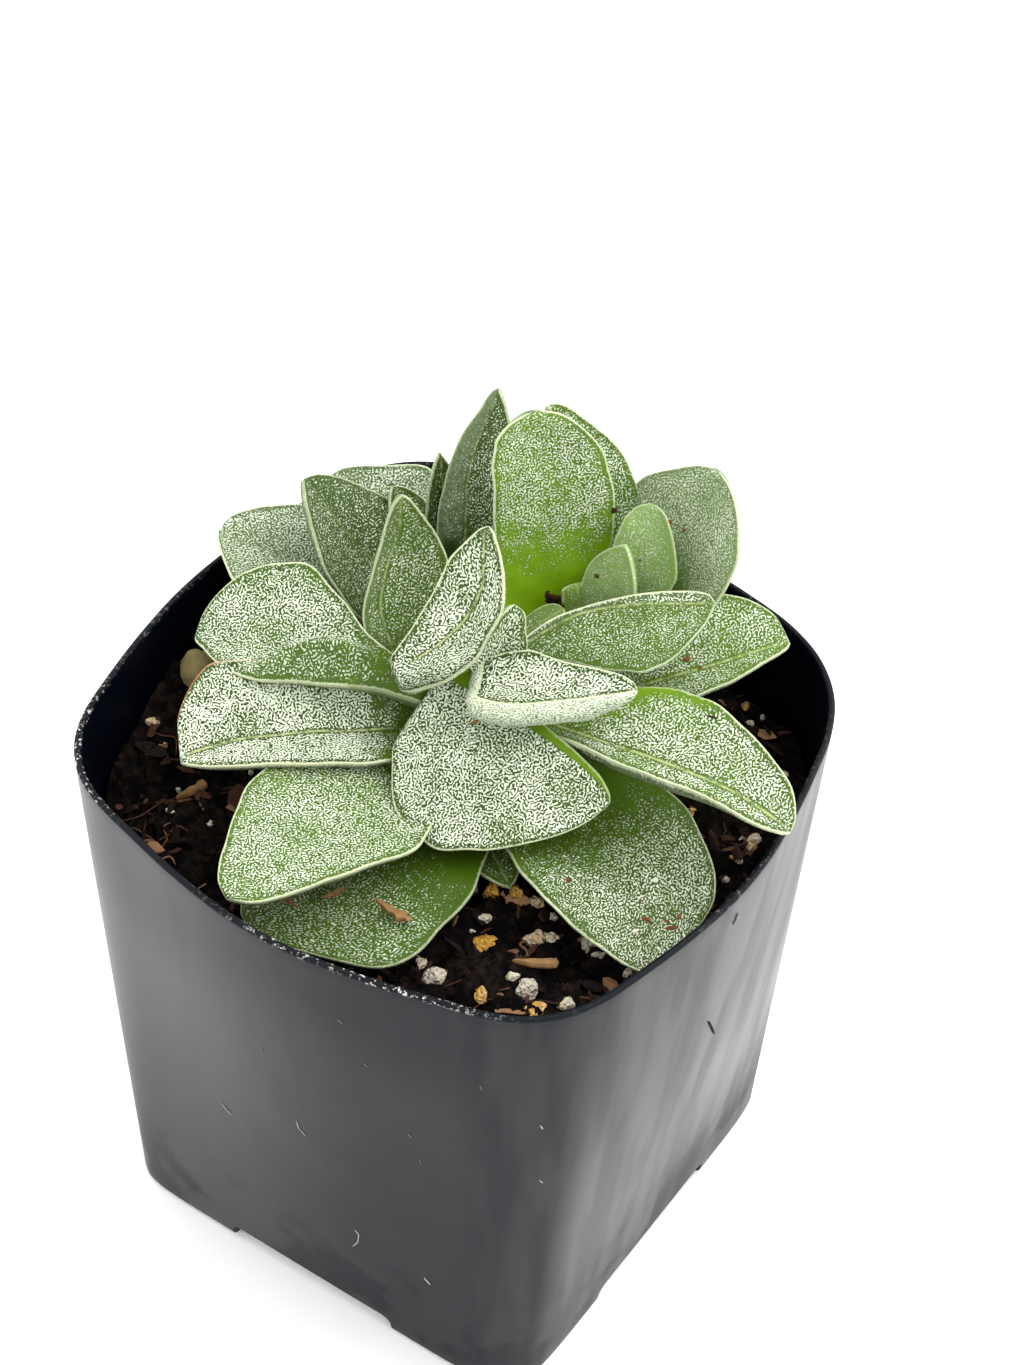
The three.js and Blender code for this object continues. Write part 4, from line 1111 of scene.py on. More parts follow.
def heap_mesh(settings):
    """The mix piled against the wall: sections from the wall inwards, one after the other along the wall,
    each with a crumbly top and a flat foot inside the mix below."""
    wall = pot_rings([SOIL_LEVEL + 1], [WALL + SOIL_GAP])[0]
    wall = wall[wall[:, 0] < HEAP_FOOT]
    wall = wall[np.argsort(wall[:, 1])]
    y = np.linspace(HEAP_START[0], HEAP_END[1], HEAP_ROWS)[:, None]
    at_wall = np.interp(y, wall[:, 1], wall[:, 0])
    x = at_wall + (HEAP_FOOT - at_wall) * np.linspace(0, 1, HEAP_COLUMNS)
    y = np.broadcast_to(y, x.shape)
    rise = heap_height(x, y)
    crust = crumbly(np.column_stack([x.ravel(), y.ravel()]), settings).reshape(x.shape)
    sunk = 0.6 * (1 - ease(rise, 0.0, 0.8))
    top = np.stack([x, y, soil_height(x, y) + rise + crust - SOIL_SUNK - sunk], -1)
    foot = np.stack([x, y, np.full(x.shape, SOIL_LEVEL - HEAP_DEPTH)], -1)
    return make_mesh("soil_heap", tube(np.concatenate([top, foot[:, ::-1]], axis=1)), crease=60)


def leaf_half(shape, share):
    """Half a leaf's width: a sine from its neck to its widest place, then a blunt curve to its tip,
    narrowed at the heel."""
    heel = 1 - HEEL_NARROWING * np.maximum(0, 1 - share / HEEL) ** 2
    rise = np.sin(math.pi / 2 * np.minimum(1, share / shape["widest"])) ** shape["waist"]
    lower = heel * (shape["neck"] + (1 - shape["neck"]) * rise)
    beyond = np.clip((share - shape["widest"]) / (1 - shape["widest"]), 0, 1)
    upper = (1 - beyond**TAPER) ** shape["tip"]
    return shape["wide"] / 2 * np.where(share < shape["widest"], lower, upper)


def measured(points, share):
    """A measure along a leaf: one number, or a row of shares, each followed by its size. It runs straight
    between them over the root of what is left to the tip, which makes tips round, and is smoothed by a
    bell."""
    at, size = np.reshape(points if np.ndim(points) else (0, points, 1, points), (-1, 2)).T
    even = np.linspace(0, 1, MEASURE_STEPS + 1)
    line = np.interp(even, 1 - np.sqrt(1 - at), size)
    pad = 3 * MEASURE_BELL
    line = np.r_[2 * line[0] - line[pad:0:-1], line, 2 * line[-1] - line[-2:-pad - 2:-1]]
    bell = np.exp(-((np.arange(-pad, pad + 1) / MEASURE_BELL) ** 2))
    smooth = np.convolve(line, bell / bell.sum(), "valid")
    return np.interp(1 - np.sqrt(1 - np.clip(share, 0, 1)), even, smooth)


def leaf_frame(shape, share):
    """Points along a leaf's spine, which is its foot plus the sum of its headings, and the directions to
    its right side and upwards there. Below share 0 the spine runs straight back."""
    def headings(at):
        return heading_vectors(shape["turn"] + shape["sway"] * at, shape["rise"] + shape["curl"] * at)

    steps = np.linspace(0, 1, SPINE_STEPS + 1)
    way = headings((steps[1:] + steps[:-1]) / 2)
    walked = np.vstack([np.zeros(3), np.cumsum(way, axis=0)]) * shape["long"] / SPINE_STEPS
    point = shape["foot"] + np.stack([np.interp(share, steps, walked[:, axis]) for axis in range(3)], -1)
    point += np.minimum(share, 0)[:, None] * way[0] * shape["long"]
    heading = np.radians(shape["turn"] + shape["sway"] * share)
    flat_side = np.stack([np.sin(heading), -np.cos(heading), np.zeros_like(heading)], -1)
    flat_up = np.cross(flat_side, headings(share))
    roll = math.radians(shape["roll"])
    side = flat_side * math.cos(roll) - flat_up * math.sin(roll)
    up = flat_up * math.cos(roll) + flat_side * math.sin(roll)
    return point, side, up


def leaf_mesh(title, name, finish, edge_radius, seed):
    """A leaf: rings across its spine from heel to tip. Each ring runs from the middle of the underside
    round the left margin, over the top and round the right margin. The top is a trough with a soft crease,
    the underside an ellipse, and both fall to a rounded margin and shrink to a point at the ends. The
    form's own foot, turn, rise, roll and length stand in for the model's, its forward measures move the
    margins along the line of sight, and its ridge raises a crest on the top, which falls off slowly to the
    left and fast to the right."""
    foot_x, foot_y, foot_z, *measures = LEAVES[name]
    form = FORMS.get(name, {})
    shape = {"foot": (foot_x, foot_y, foot_z), **dict(zip(LEAF_COLUMNS, measures))}
    shape.update({key: form[key] for key in ("foot", "turn", "rise", "roll", "long") if key in form})
    rows = np.arange(1, LEAF_ROWS) / LEAF_ROWS
    first, long = form.get("heel", 0.0), shape["long"]
    share = first + (1 - first) * (0.15 * rows + 0.85 * (1 - np.cos(math.pi * rows)) / 2)
    point, side, up = leaf_frame(shape, share)
    along = share * long
    heel_end = np.minimum(1, (share - first) * long / HEEL_ROUNDING)
    tip_end = np.minimum(1, (long - along) / TIP_ROUNDING)
    ends = (np.sqrt(1 - (1 - heel_end) ** 2) * np.sqrt(1 - (1 - tip_end) ** 2))[:, None]

    lap = np.arange(LEAF_RING + 1) * 4 / LEAF_RING - 2
    sector = np.where(np.abs(lap) <= 1, lap, np.sign(lap) * 2 - lap)
    sector[0] = 0.0
    under, is_right = np.abs(lap) > 1, lap > 0
    across = np.sin(math.pi / 2 * sector)

    def by_side(left, right):
        """A grid of rows and places round the ring, with one column of numbers for each side."""
        return np.where(is_right, right[:, None], left[:, None])

    plain = np.maximum(leaf_half(shape, np.clip(share, 0, 1)), LEAST_HALF)
    left = measured(form["left"], share) if "left" in form else plain * (1 - shape["lean"])
    right = measured(form["right"], share) if "right" in form else plain * (1 + shape["lean"])
    middle = measured(form["middle"], share) if "middle" in form else np.zeros_like(share)
    wavy = 1 + ripple(np.column_stack([along, np.full(len(along), 3.0 * seed)]), *MARGIN_WAVES)
    left_reach = np.maximum(left + middle, LEAST_HALF) * wavy
    reach = by_side(left_reach, np.maximum(right - middle, LEAST_HALF) * wavy)
    middle = middle[:, None]
    out = across * reach
    margin = reach * (1 - np.abs(across))
    blunt = np.where(is_right, form.get("blunt_right", 0.0), 0.0) * np.minimum(1, reach / 3)
    radius = np.minimum(edge_radius + blunt, reach * 0.8)
    drop = radius - np.sqrt(radius**2 - np.clip(radius - margin, 0, None) ** 2)
    near_tip = np.maximum(0, (share - THIN_FROM) / (1 - THIN_FROM))
    thin = shape["thick"] * (1 - THINNING * near_tip ** 2)[:, None]
    edge_depth = EDGE_DEPTH + 1.3 * blunt
    belly = edge_depth + (np.maximum(thin, edge_depth) - edge_depth) * (1 - across**2) ** BELLY
    depth = np.where(under, belly - drop * (edge_depth / radius - 1) * np.where(blunt > 0, 0.15, 1), drop)
    depth = thin / 2 + (depth - thin / 2) * ends

    fold = math.radians(shape["fold"])
    soft = np.sqrt(out**2 + TROUGH_ROUNDING**2) - TROUGH_ROUNDING
    trough = soft * math.sin(fold) * np.clip(by_side(left, right) / reach, 0, 2)
    spread = np.stack([out, np.broadcast_to(along[:, None], reach.shape)], -1)
    uneven = ripple(spread + 17.0 * seed, *SKIN_WAVES) + ripple(spread + 9.0 * seed, *SKIN_RIPPLES)
    if "ridge" in form:
        crest, height = [measured(form[key], share)[:, None] for key in ("ridge", "ridge_height")]
        beyond = out + middle - crest
        before = np.clip(1 + beyond / np.maximum(crest + left_reach[:, None], 0.5), 0, 1)
        uneven = uneven + height * np.where(beyond < 0, before, np.exp(-((beyond / 0.9) ** 2))) * ~under
    lift = (trough + uneven) * ends - depth
    rings = (point[:, None] + side[:, None] * ((out + middle) * math.cos(fold) * ends)[..., None]
             + up[:, None] * lift[..., None])
    forward = by_side(*[measured(form.get(f"forward_{one}", 0), share) for one in ("left", "right")])
    rings += (forward * across**2 * ends * np.minimum(1, reach / 3))[..., None] * view_axes()[2]

    start, _, start_up = leaf_frame(shape, np.full(1, first))
    end, end_side, end_up = leaf_frame(shape, np.ones(1))
    start = start[0] - start_up[0] * shape["thick"] / 2
    end = end[0] - end_up[0] * thin[-1, 0] / 2 + end_side[0] * middle[-1] * math.cos(fold)
    stretch = np.where(under, np.sign(lap) * 2 * reach - out, out)
    stretch += np.sign(lap) * np.where(under, 2 * blunt, drop)
    uv = np.stack([stretch, spread[..., 1]], -1) / UV_UNIT + (0.0, 7.3 * seed)

    s, a = np.broadcast_arrays(share[:, None], across)
    bare = finish["bare"]
    limit = (bare + (finish["left"] - bare) * np.clip(-a, 0, 1) ** 2
             + (finish["right"] - bare) * np.clip(a, 0, 1) ** 2)
    ragged = ripple(spread + 5.0 * seed, *RAGGED_WAVES)
    covered = ease(s + ragged, limit - 0.12, limit + 0.26)
    plain = finish["smooth"] * ease(-a, 0.0, 0.2)
    cover = finish["cover"] * covered * (1 - 0.45 * plain) * (1 + ripple(spread, *COVER_WAVES))
    near_face = ease(-a, -0.1, 0.3)
    # Where a crest is, the face before it has thinner cover: partly fewer papillae there and partly painted
    # shade of the crest
    if "ridge" in form:
        near_face = ease(crest - out - middle, -0.25, 0.25) * (1 - ease(s, 0.6, 0.75))
    cover = cover * (1 - finish["thin_left"] * near_face)
    heel_rim = (share[:, None] - first) * long - 0.9 * form.get("blunt_right", -0.2)
    inward = np.where(s < 0.5, np.minimum(margin - blunt, heel_rim), margin - blunt)
    flank = under | (inward < 0)
    bloom = np.where(flank, finish["flank"], covered * np.clip(finish["bloom"] + 0.45 * plain, 0, 1))
    cover = np.where(flank & (finish["flank"] > 0.5), 1.1, cover)
    # Painted shade where the leaves crowd at the centre: the heels of all but the freshest leaves, and each
    # leaf towards its foot, are painted deeper green
    heel = (1 - ease(s, 0.05, 0.35)) * (finish["fresh"] < 0.65)
    fresh = finish["fresh"] * (1 - covered) + finish["lively"] * covered
    deep = np.clip(finish["deep"] * (1 - 0.4 * s) + 0.5 * heel, 0, 1) * np.where(under, 0.6, 1)
    vein = finish["vein"] * ease(s, 0.08, 0.2) * (1 - ease(s, 0.93, 1.0)) * ~under
    blush = finish["blush"] * ease(s, 0.6, 0.9) * ease(a, -0.2, 0.6)
    # Each value's grid, and what it is at the heel's pole and at the tip's
    grids = {
        "edge": (np.where(under, -margin - blunt, inward), -1.0, 0.0),
        "cover": (np.clip(cover, 0, 1.3), 0.0, finish["cover"]), "bloom": (bloom, 0.0, finish["bloom"]),
        "fresh": (fresh, finish["fresh"], 0.0), "deep": (deep, finish["deep"], 0.0), "vein": (vein, 0.0, 0.0),
        "blush": (blush, 0.0, finish["blush"]),
    }
    values = {label: np.append(grid[:, :-1], poles) for label, (grid, *poles) in grids.items()}
    return make_mesh(title, tube(rings[:, :-1], start, end), tube_map(uv), values)


def stem_mesh(name, foot, head, radii):
    """A stem: round sections on a straight line from the root to the head, swollen a little at each old
    leaf's scar."""
    share = np.linspace(0, 1, 60)
    middle = np.array(foot) + share[:, None] * (np.array(head) - np.array(foot))
    radius = np.interp(share, [0, 0.35, 0.75, 1], [radii[0], radii[0], radii[1], radii[1] * 0.35]) - 0.08
    radius = radius * (1 - 0.04 * (1 + np.sin(share * 60)))
    rings = middle[:, None] + circle(40) * radius[:, None, None]
    rings[..., :2] += ripple(rings, *STEM_WAVES)[..., None]
    return make_mesh(name, tube(rings))


def lump(size, seed, rows=26, columns=36, rough=0.1, waist=0.0):
    """A rough grain round the origin: a ball of unit radius, pinched at its waist, swollen and pitted by
    waves of two lengths, and stretched to its size."""
    down = (np.arange(1, rows) * math.pi / rows)[:, None]
    around = np.arange(columns) * TAU / columns
    x = np.cos(down) * np.ones(columns)
    ball = np.stack([x, np.sin(down) * np.cos(around), np.sin(down) * np.sin(around)], -1)
    near, far = [[np.broadcast_to([end, 0, 0], (columns, 3))] for end in (1.0, -1.0)]
    ball = np.concatenate([near, ball, far])
    pits = np.abs(ripple(ball + seed, 1, *GRAIN_PITS))
    swell = 0.93 + ripple(ball + seed, rough, *GRAIN_WAVES) - rough * 0.6 * pits
    shape = ball * swell[..., None]
    shape[..., 1:] *= (1 - waist * np.exp(-((ball[..., 0] / 0.22) ** 2)))[..., None]
    shape = shape * np.array(size) / 2
    return tube(shape[1:-1], shape[0, 0], shape[-1, 0])


def carried(shape, turn, at):
    """A shape turned round the upright axis, and carried to its place."""
    corners, faces = shape
    return turned(corners, turn) + np.array(at, float), faces


def on_soil(at, size):
    """The place of a grain that stands on the soil."""
    return *at, soil_height(*at) + GRAIN_STAND * size[2]


def bark_mesh(name, at, size, turn, slope, seed):
    """A sliver of bark: flat rounded sections along its length, as wide as its outline there, with split
    ends and a ribbed face."""
    share = (1 - np.cos(np.linspace(0.04, math.pi - 0.04, 60))) / 2 - 0.5
    wide = np.interp(share, BARK_SHARES, BARK_WIDTHS) * size[1]
    share = share[:, None]
    wide = wide * (1 + ripple(share * 20, 0.16, 7.0, BARK_SHAPES + seed))
    flat, high, _ = (np.sign(circle(32)) * np.abs(circle(32)) ** 0.7).T
    taper = np.sqrt(np.clip(1 - (2 * np.abs(share)) ** 6, 0.04, 1))
    z = size[2] / 2 * taper * high * (1 + 0.25 * np.sin(flat * 9 + seed)) + 0.05 * size[0] * (share * 2) ** 2
    rings = np.stack([np.broadcast_to(share * size[0], z.shape), wide[:, None] * flat, z], -1)
    rings = turned(turned(rings, slope, 0, 2), turn) + np.array(at, float)
    return make_mesh(name, tube(rings), values={"tint": 0.62})


def chip(size, seed):
    """A small flake of bark round the origin: a few uneven rings with pointed ends."""
    draw = np.random.default_rng(seed)
    half = np.array(size) / 2
    share = np.array([-0.8, -0.3, 0.3, 0.8])
    wide = np.sqrt(1 - share**2) * draw.uniform(0.7, 1.15, 4)
    angle = np.arange(6) * TAU / 6
    y = wide[:, None] * np.cos(angle) * size[1] / 2
    z = wide[:, None] * np.sin(angle) * size[2] / 2
    rings = np.stack([np.broadcast_to(share[:, None] * size[0] / 2, y.shape), y, z], -1)
    rings = rings * draw.uniform(0.85, 1.1, (4, 6, 1))
    rings[..., 2] += draw.uniform(-0.2, 0.2, 4)[:, None] * size[2]
    return tube(rings, half * (-1, 0, 0), half * (1, 0, 0))


def strand(path, thick, sides=5):
    """A thin fibre: round sections carried along a path, pointed at both ends."""
    way = np.gradient(path, axis=0)
    way /= np.linalg.norm(way, axis=1, keepdims=True)
    side = np.cross(way, [0.13, 0.21, 0.97])
    side /= np.linalg.norm(side, axis=1, keepdims=True)
    radius = thick / 2 * np.sqrt(np.clip(1 - np.linspace(-1, 1, len(path)) ** 4, 0.05, 1))
    x, y, _ = circle(sides).T
    ring = side[:, None] * x[:, None] + np.cross(way, side)[:, None] * y[:, None]
    rings = path[:, None] + ring * radius[:, None, None]
    return tube(rings[1:-1], path[0], path[-1])


# Places


def landed(context, across, down):
    """Where the line of sight through a point of the picture first meets a piece, in millimetres, and the
    way that piece faces."""
    right, upward, back = view_axes()
    across_by, down_by = across - VIEW_CENTRE[0], down - VIEW_CENTRE[1]
    aim = right * across_by / VIEW_FOCUS - upward * down_by / VIEW_FOCUS - back
    aim /= np.linalg.norm(aim)
    start = Vector((VIEW_TARGET + back * VIEW_DISTANCE) * MM)
    hit, spot, facing, *_ = context.scene.ray_cast(context.evaluated_depsgraph_get(), start, Vector(aim))
    if not hit:
        raise RuntimeError(f"no piece shows at {across}, {down} in the view")
    facing = np.array(facing)
    return np.array(spot) / MM, facing * -np.sign(facing @ aim)


def laid(shape, turn, spot, facing):
    """A shape turned round Z and moved from the origin to a spot, with X along the picture's right and Z
    the way the spot faces."""
    corners, faces = shape
    right = view_axes()[0]
    along = right - facing * (right @ facing)
    along /= np.linalg.norm(along)
    return spot + turned(corners, turn) @ np.stack([along, np.cross(facing, along), facing]), faces


def inside_rim(x, y, inset):
    """Whether points lie inside the pot's section at the soil's level, drawn in by an inset."""
    ring = pot_rings([SOIL_LEVEL], [inset])[0]
    angle = np.arctan2(ring[:, 1], ring[:, 0])
    order = np.argsort(angle)
    reach = np.hypot(ring[:, 0], ring[:, 1])
    return np.hypot(x, y) < np.interp(np.arctan2(y, x), angle[order], reach[order], period=TAU)


def scattered(count, seed):
    """Random places on the soil, inside the wall."""
    x, y = np.random.default_rng(seed).uniform(-33, 33, (2, count * 3))
    kept = inside_rim(x, y, WALL + 1.6)
    return np.column_stack([x[kept], y[kept]])[:count]


# What a user may change

COLOUR = dict(size=4, subtype="COLOR", min=0, max=1)
LENGTH = dict(unit="LENGTH", precision=5)


class PotSettings(bpy.types.PropertyGroup):
    """Sizes and colours of the pot."""

    lip: FloatProperty(name="Lip rounding", description="Radius of the rounded lip", default=0.00032,
                       min=0.0001, max=0.00039, **LENGTH)
    plastic: FloatVectorProperty(name="Plastic", description="Colour of the clean plastic",
                                 default=(0.0030, 0.0042, 0.0066, 1), **COLOUR)
    dusty: FloatVectorProperty(name="Dusty plastic",
                               description="Colour of the plastic where dust has dulled it",
                               default=(0.0068, 0.0080, 0.0106, 1), **COLOUR)
    wear: FloatProperty(name="Wear", description="How much of the lip is scuffed", default=0.56, min=0, max=1,
                        subtype="FACTOR")


class SoilSettings(bpy.types.PropertyGroup):
    """Sizes and colours of the potting mix."""

    crumbs: IntProperty(name="Crumbs", description="How many crumbs make the crust", default=1500, min=50,
                        max=4000)
    largest_crumb: FloatProperty(name="Largest crumb", description="Radius of the largest crumb",
                                 default=0.0022, min=0.0005, max=0.004, **LENGTH)
    chips: IntProperty(name="Bark flakes", description="How many loose flakes of bark lie on the mix",
                       default=900, min=0, max=3000)
    fibres: IntProperty(name="Fibres", description="How many loose fibres lie on the mix", default=240, min=0,
                        max=800)
    perlite_bits: IntProperty(name="Perlite crumbs", description="How many small crumbs of perlite there are",
                              default=60, min=0, max=400)
    peat: FloatVectorProperty(name="Peat", description="Colour of the moist peat",
                              default=(0.0016, 0.0012, 0.0013, 1), **COLOUR)
    peat_light: FloatVectorProperty(name="Light peat", description="Colour of the drier bits in the peat",
                                    default=(0.014, 0.009, 0.0065, 1), **COLOUR)


class LeafSettings(bpy.types.PropertyGroup):
    """Sizes and colours of the leaves."""

    edge: FloatProperty(name="Margin rounding", description="Radius of the leaves' rounded margin",
                        default=0.00013, min=0.00005, max=0.0002, **LENGTH)
    rim_width: FloatProperty(name="Pale rim", description="Width of the pale line along each margin",
                             default=0.00025, min=0.0, max=0.001, **LENGTH)
    maze_pitch: FloatProperty(name="Maze pitch", description="Distance from one white ridge to the next",
                              default=0.00042, min=0.0001, max=0.002, **LENGTH)
    green: FloatVectorProperty(name="Green", description="Colour of the skin between the papillae",
                               default=(0.026, 0.052, 0.003, 1), **COLOUR)
    fresh_green: FloatVectorProperty(name="Fresh green", description="Colour of the bare bases",
                                     default=(0.150, 0.285, 0.003, 1), **COLOUR)
    deep_green: FloatVectorProperty(name="Deep green", description="Colour of the darkest leaves",
                                    default=(0.010, 0.025, 0.001, 1), **COLOUR)
    bloom: FloatVectorProperty(name="Bloom", description="Colour of the waxy haze",
                               default=(0.26, 0.32, 0.20, 1), **COLOUR)
    papillae: FloatVectorProperty(name="Papillae", description="Colour of the white papillae",
                                  default=(0.55, 0.615, 0.465, 1), **COLOUR)
    vein: FloatVectorProperty(name="Midline", description="Colour of the pale midline",
                              default=(0.42, 0.47, 0.20, 1), **COLOUR)
    rim: FloatVectorProperty(name="Rim", description="Colour of the pale margin",
                             default=(0.50, 0.54, 0.35, 1), **COLOUR)


class StageSettings(bpy.types.PropertyGroup):
    """Floor and light."""

    floor: FloatVectorProperty(name="Floor", description="Colour of the floor", default=(0.90, 0.90, 0.89, 1),
                               **COLOUR)
    sky: FloatProperty(name="Sky", description="Strength of the even light from all round", default=2.0,
                       min=0, max=10)
    key: FloatProperty(name="Key light", description="Power of the large soft lamp", default=4.5,
                       min=0, max=100, unit="POWER")
    lamp_size: FloatProperty(name="Lamp size", description="Side of the large soft lamp", default=0.7,
                             min=0.05, max=3, unit="LENGTH")


class Settings(bpy.types.PropertyGroup):
    """All that can be changed."""

    pot: PointerProperty(type=PotSettings)
    soil: PointerProperty(type=SoilSettings)
    leaves: PointerProperty(type=LeafSettings)
    stage: PointerProperty(type=StageSettings)


# Operators


class SUCCULENT_OT_pot(bpy.types.Operator):
    """Make the square nursery pot, with its notched foot, drain holes and scuffed lip"""

    bl_idname = "succulent.pot"
    bl_label = "Pot"

    def execute(self, context):
        settings = context.scene.succulent.pot
        place("pot_wall", pot_mesh(settings.lip / MM), plastic_material(settings), "pot_plastic", "pot")
        return {"FINISHED"}


class SUCCULENT_OT_soil(bpy.types.Operator):
    """Make the potting mix that fills the pot"""

    bl_idname = "succulent.soil"
    bl_label = "Potting mix"

    def execute(self, context):
        settings = context.scene.succulent.soil
        mix = mix_material(settings)
        place("soil_bed", soil_mesh(settings), mix, "potting_mix", "soil")
        place("soil_heap", heap_mesh(settings), mix, "potting_mix")
        return {"FINISHED"}


class SUCCULENT_OT_litter(bpy.types.Operator):
    """Scatter loose bark flakes, fibres and perlite crumbs over the mix"""

    bl_idname = "succulent.litter"
    bl_label = "Loose bits"

    def execute(self, context):
        settings = context.scene.succulent.soil
        bark = bit_material("bark_flakes", (20, 15, 13), (64, 42, 33), (138, 103, 74), 1800.0, 0.00015)
        coir = bit_material("fibre", (26, 18, 15), (78, 50, 36), (140, 104, 74), 2400.0, 0.00005)
        place_bits("soil_flakes", self.flakes(settings.chips), bark, "bark", crease=30)
        place_bits("soil_fibres", self.fibres(settings.fibres), coir, "bark")
        place_bits("perlite_crumbs", self.crumbs(settings.perlite_bits), perlite_material(), "perlite")
        return {"FINISHED"}

    def flakes(self, count):
        """Chips of bark, lying every way."""
        draw = np.random.default_rng(FLAKE_LIE)
        bits = []
        for number, (x, y) in enumerate(scattered(count, FLAKE_PLACES)):
            long = 0.8 + 3.0 * draw.uniform() ** 2
            size = (long, long * draw.uniform(0.25, 0.6), 0.25 + 0.35 * draw.uniform())
            corners, faces = chip(size, FLAKE_SHAPES + number)
            roll, pitch, turn = draw.uniform(-45, 45), draw.uniform(-30, 30), draw.uniform(0, 360)
            lift = ground(x, y) + draw.uniform(0.0, 1.1)
            corners = turned(turned(turned(corners, roll, 1, 2), pitch, 0, 2), turn) + (x, y, lift)
            bits.append(((corners, faces), draw.uniform() ** 1.8))
        return bits

    def fibres(self, count):
        """Strands along bent paths, but for those that would reach the wall."""
        draw = np.random.default_rng(FIBRE_LIE)
        along = np.linspace(-0.5, 0.5, 12)[:, None]
        bits = []
        for x, y in scattered(count, FIBRE_PLACES):
            long, turn, bend = draw.uniform(2, 8), draw.uniform(0, 360), draw.uniform(-1.5, 1.5)
            arc = (along * 2) ** 2
            path = np.hstack([along * long, bend * arc + 0.3 * np.sin(along * 9), 0.6 * arc])
            path = turned(path, turn) + (x, y, 0)
            if not inside_rim(path[:, 0], path[:, 1], WALL + 0.8).all():
                continue
            path[:, 2] = ground(path[:, 0], path[:, 1]) + FIBRE_LIFT + path[:, 2] * draw.uniform(-1, 1)
            bits.append((strand(path, draw.uniform(0.12, 0.3)), draw.uniform(0.1, 0.9)))
        return bits

    def crumbs(self, count):
        """Small rough grains."""
        draw = np.random.default_rng(CRUMB_LIE)
        bits = []
        for number, (x, y) in enumerate(scattered(count, CRUMB_PLACES)):
            size = 0.5 + 1.1 * draw.uniform(size=3) ** 2
            grain = lump(size, CRUMB_SHAPES + number, rows=7, columns=10, rough=0.12)
            grain = carried(grain, draw.uniform(0, 360), (x, y, ground(x, y) + CRUMB_LIFT))
            bits.append((grain, draw.uniform() ** 2))
        return bits


class SUCCULENT_OT_grains(bpy.types.Operator):
    """Make the large perlite grains, the beige stone and the pebble by the wall"""

    bl_idname = "succulent.grains"
    bl_label = "Grains and stones"

    def execute(self, context):
        for seed, (name, (at, size, turn, tint, waist)) in enumerate(GRAINS.items()):
            grain = carried(lump(size, seed + 1, waist=waist), turn, on_soil(at, size))
            place_bits(f"{name}_fine", [(grain, tint)], perlite_material(), "perlite", name)
        beige = bit_material("pebble", (70, 60, 36), (104, 94, 60), (132, 120, 82), 600.0, 0.00008)
        stone = carried(lump(STONE_SIZE, STONE_SHAPE, rough=0.04), STONE_TURN, on_soil(STONE_AT, STONE_SIZE))
        pebble = carried(lump(PEBBLE_SIZE, PEBBLE_SHAPE, rough=0.05), PEBBLE_TURN, PEBBLE_AT)
        place_bits("stone_fine", [(stone, 0.7)], beige, "stone", "stone")
        place_bits("pebble_by_wall", [(pebble, 0.75)], beige, "stone")
        return {"FINISHED"}


class SUCCULENT_OT_bark(bpy.types.Operator):
    """Make the larger slivers of bark"""

    bl_idname = "succulent.bark"
    bl_label = "Bark slivers"

    def execute(self, context):
        bark = bit_material("bark_sliver", (60, 42, 28), (124, 92, 58), (172, 138, 96), 1500.0, 0.0002)
        for seed, (name, measures) in enumerate(BARK.items()):
            place(f"{name}_fine", bark_mesh(f"{name}_fine", *measures, seed), bark, "bark", name)
        return {"FINISHED"}


class SUCCULENT_OT_stems(bpy.types.Operator):
    """Make the three short stems"""

    bl_idname = "succulent.stems"
    bl_label = "Stems"

    def execute(self, context):
        skin = stem_material()
        for name, measures in STEMS.items():
            place(f"{name}_fine", stem_mesh(f"{name}_fine", *measures), skin, "stem", name)
        return {"FINISHED"}


class SUCCULENT_OT_leaves(bpy.types.Operator):
    """Make every leaf, with its white papillae, midline and pale margin"""

    bl_idname = "succulent.leaves"
    bl_label = "Leaves"

    def execute(self, context):
        settings = context.scene.succulent.leaves
        grown = leaf_material("leaf_skin", settings, settings.maze_pitch), "leaf"
        young = leaf_material("young_leaf_skin", settings, settings.maze_pitch * 1.1), "young_leaf"
        tools = []
        for seed, (name, finish) in enumerate((name, LOOKS[name]) for name in LEAVES):
            whole = leaf_mesh(f"{name}_blade", name, finish, settings.edge / MM, seed + 1)
            spots = numbers_of(whole.vertices, "co")
            low, high = spots.min(0), spots.max(0)
            near = [tool for tool, least, most in tools if (least < high).all() and (most > low).all()]
            mesh = largest_part(cut(f"{name}_blade", whole, near)) if near else whole
            tools.append((shrunk(whole, CUT_DEPTH), low, high))
            place(f"{name}_blade", mesh, *(young if name.startswith("crown") else grown), name)
        return {"FINISHED"}


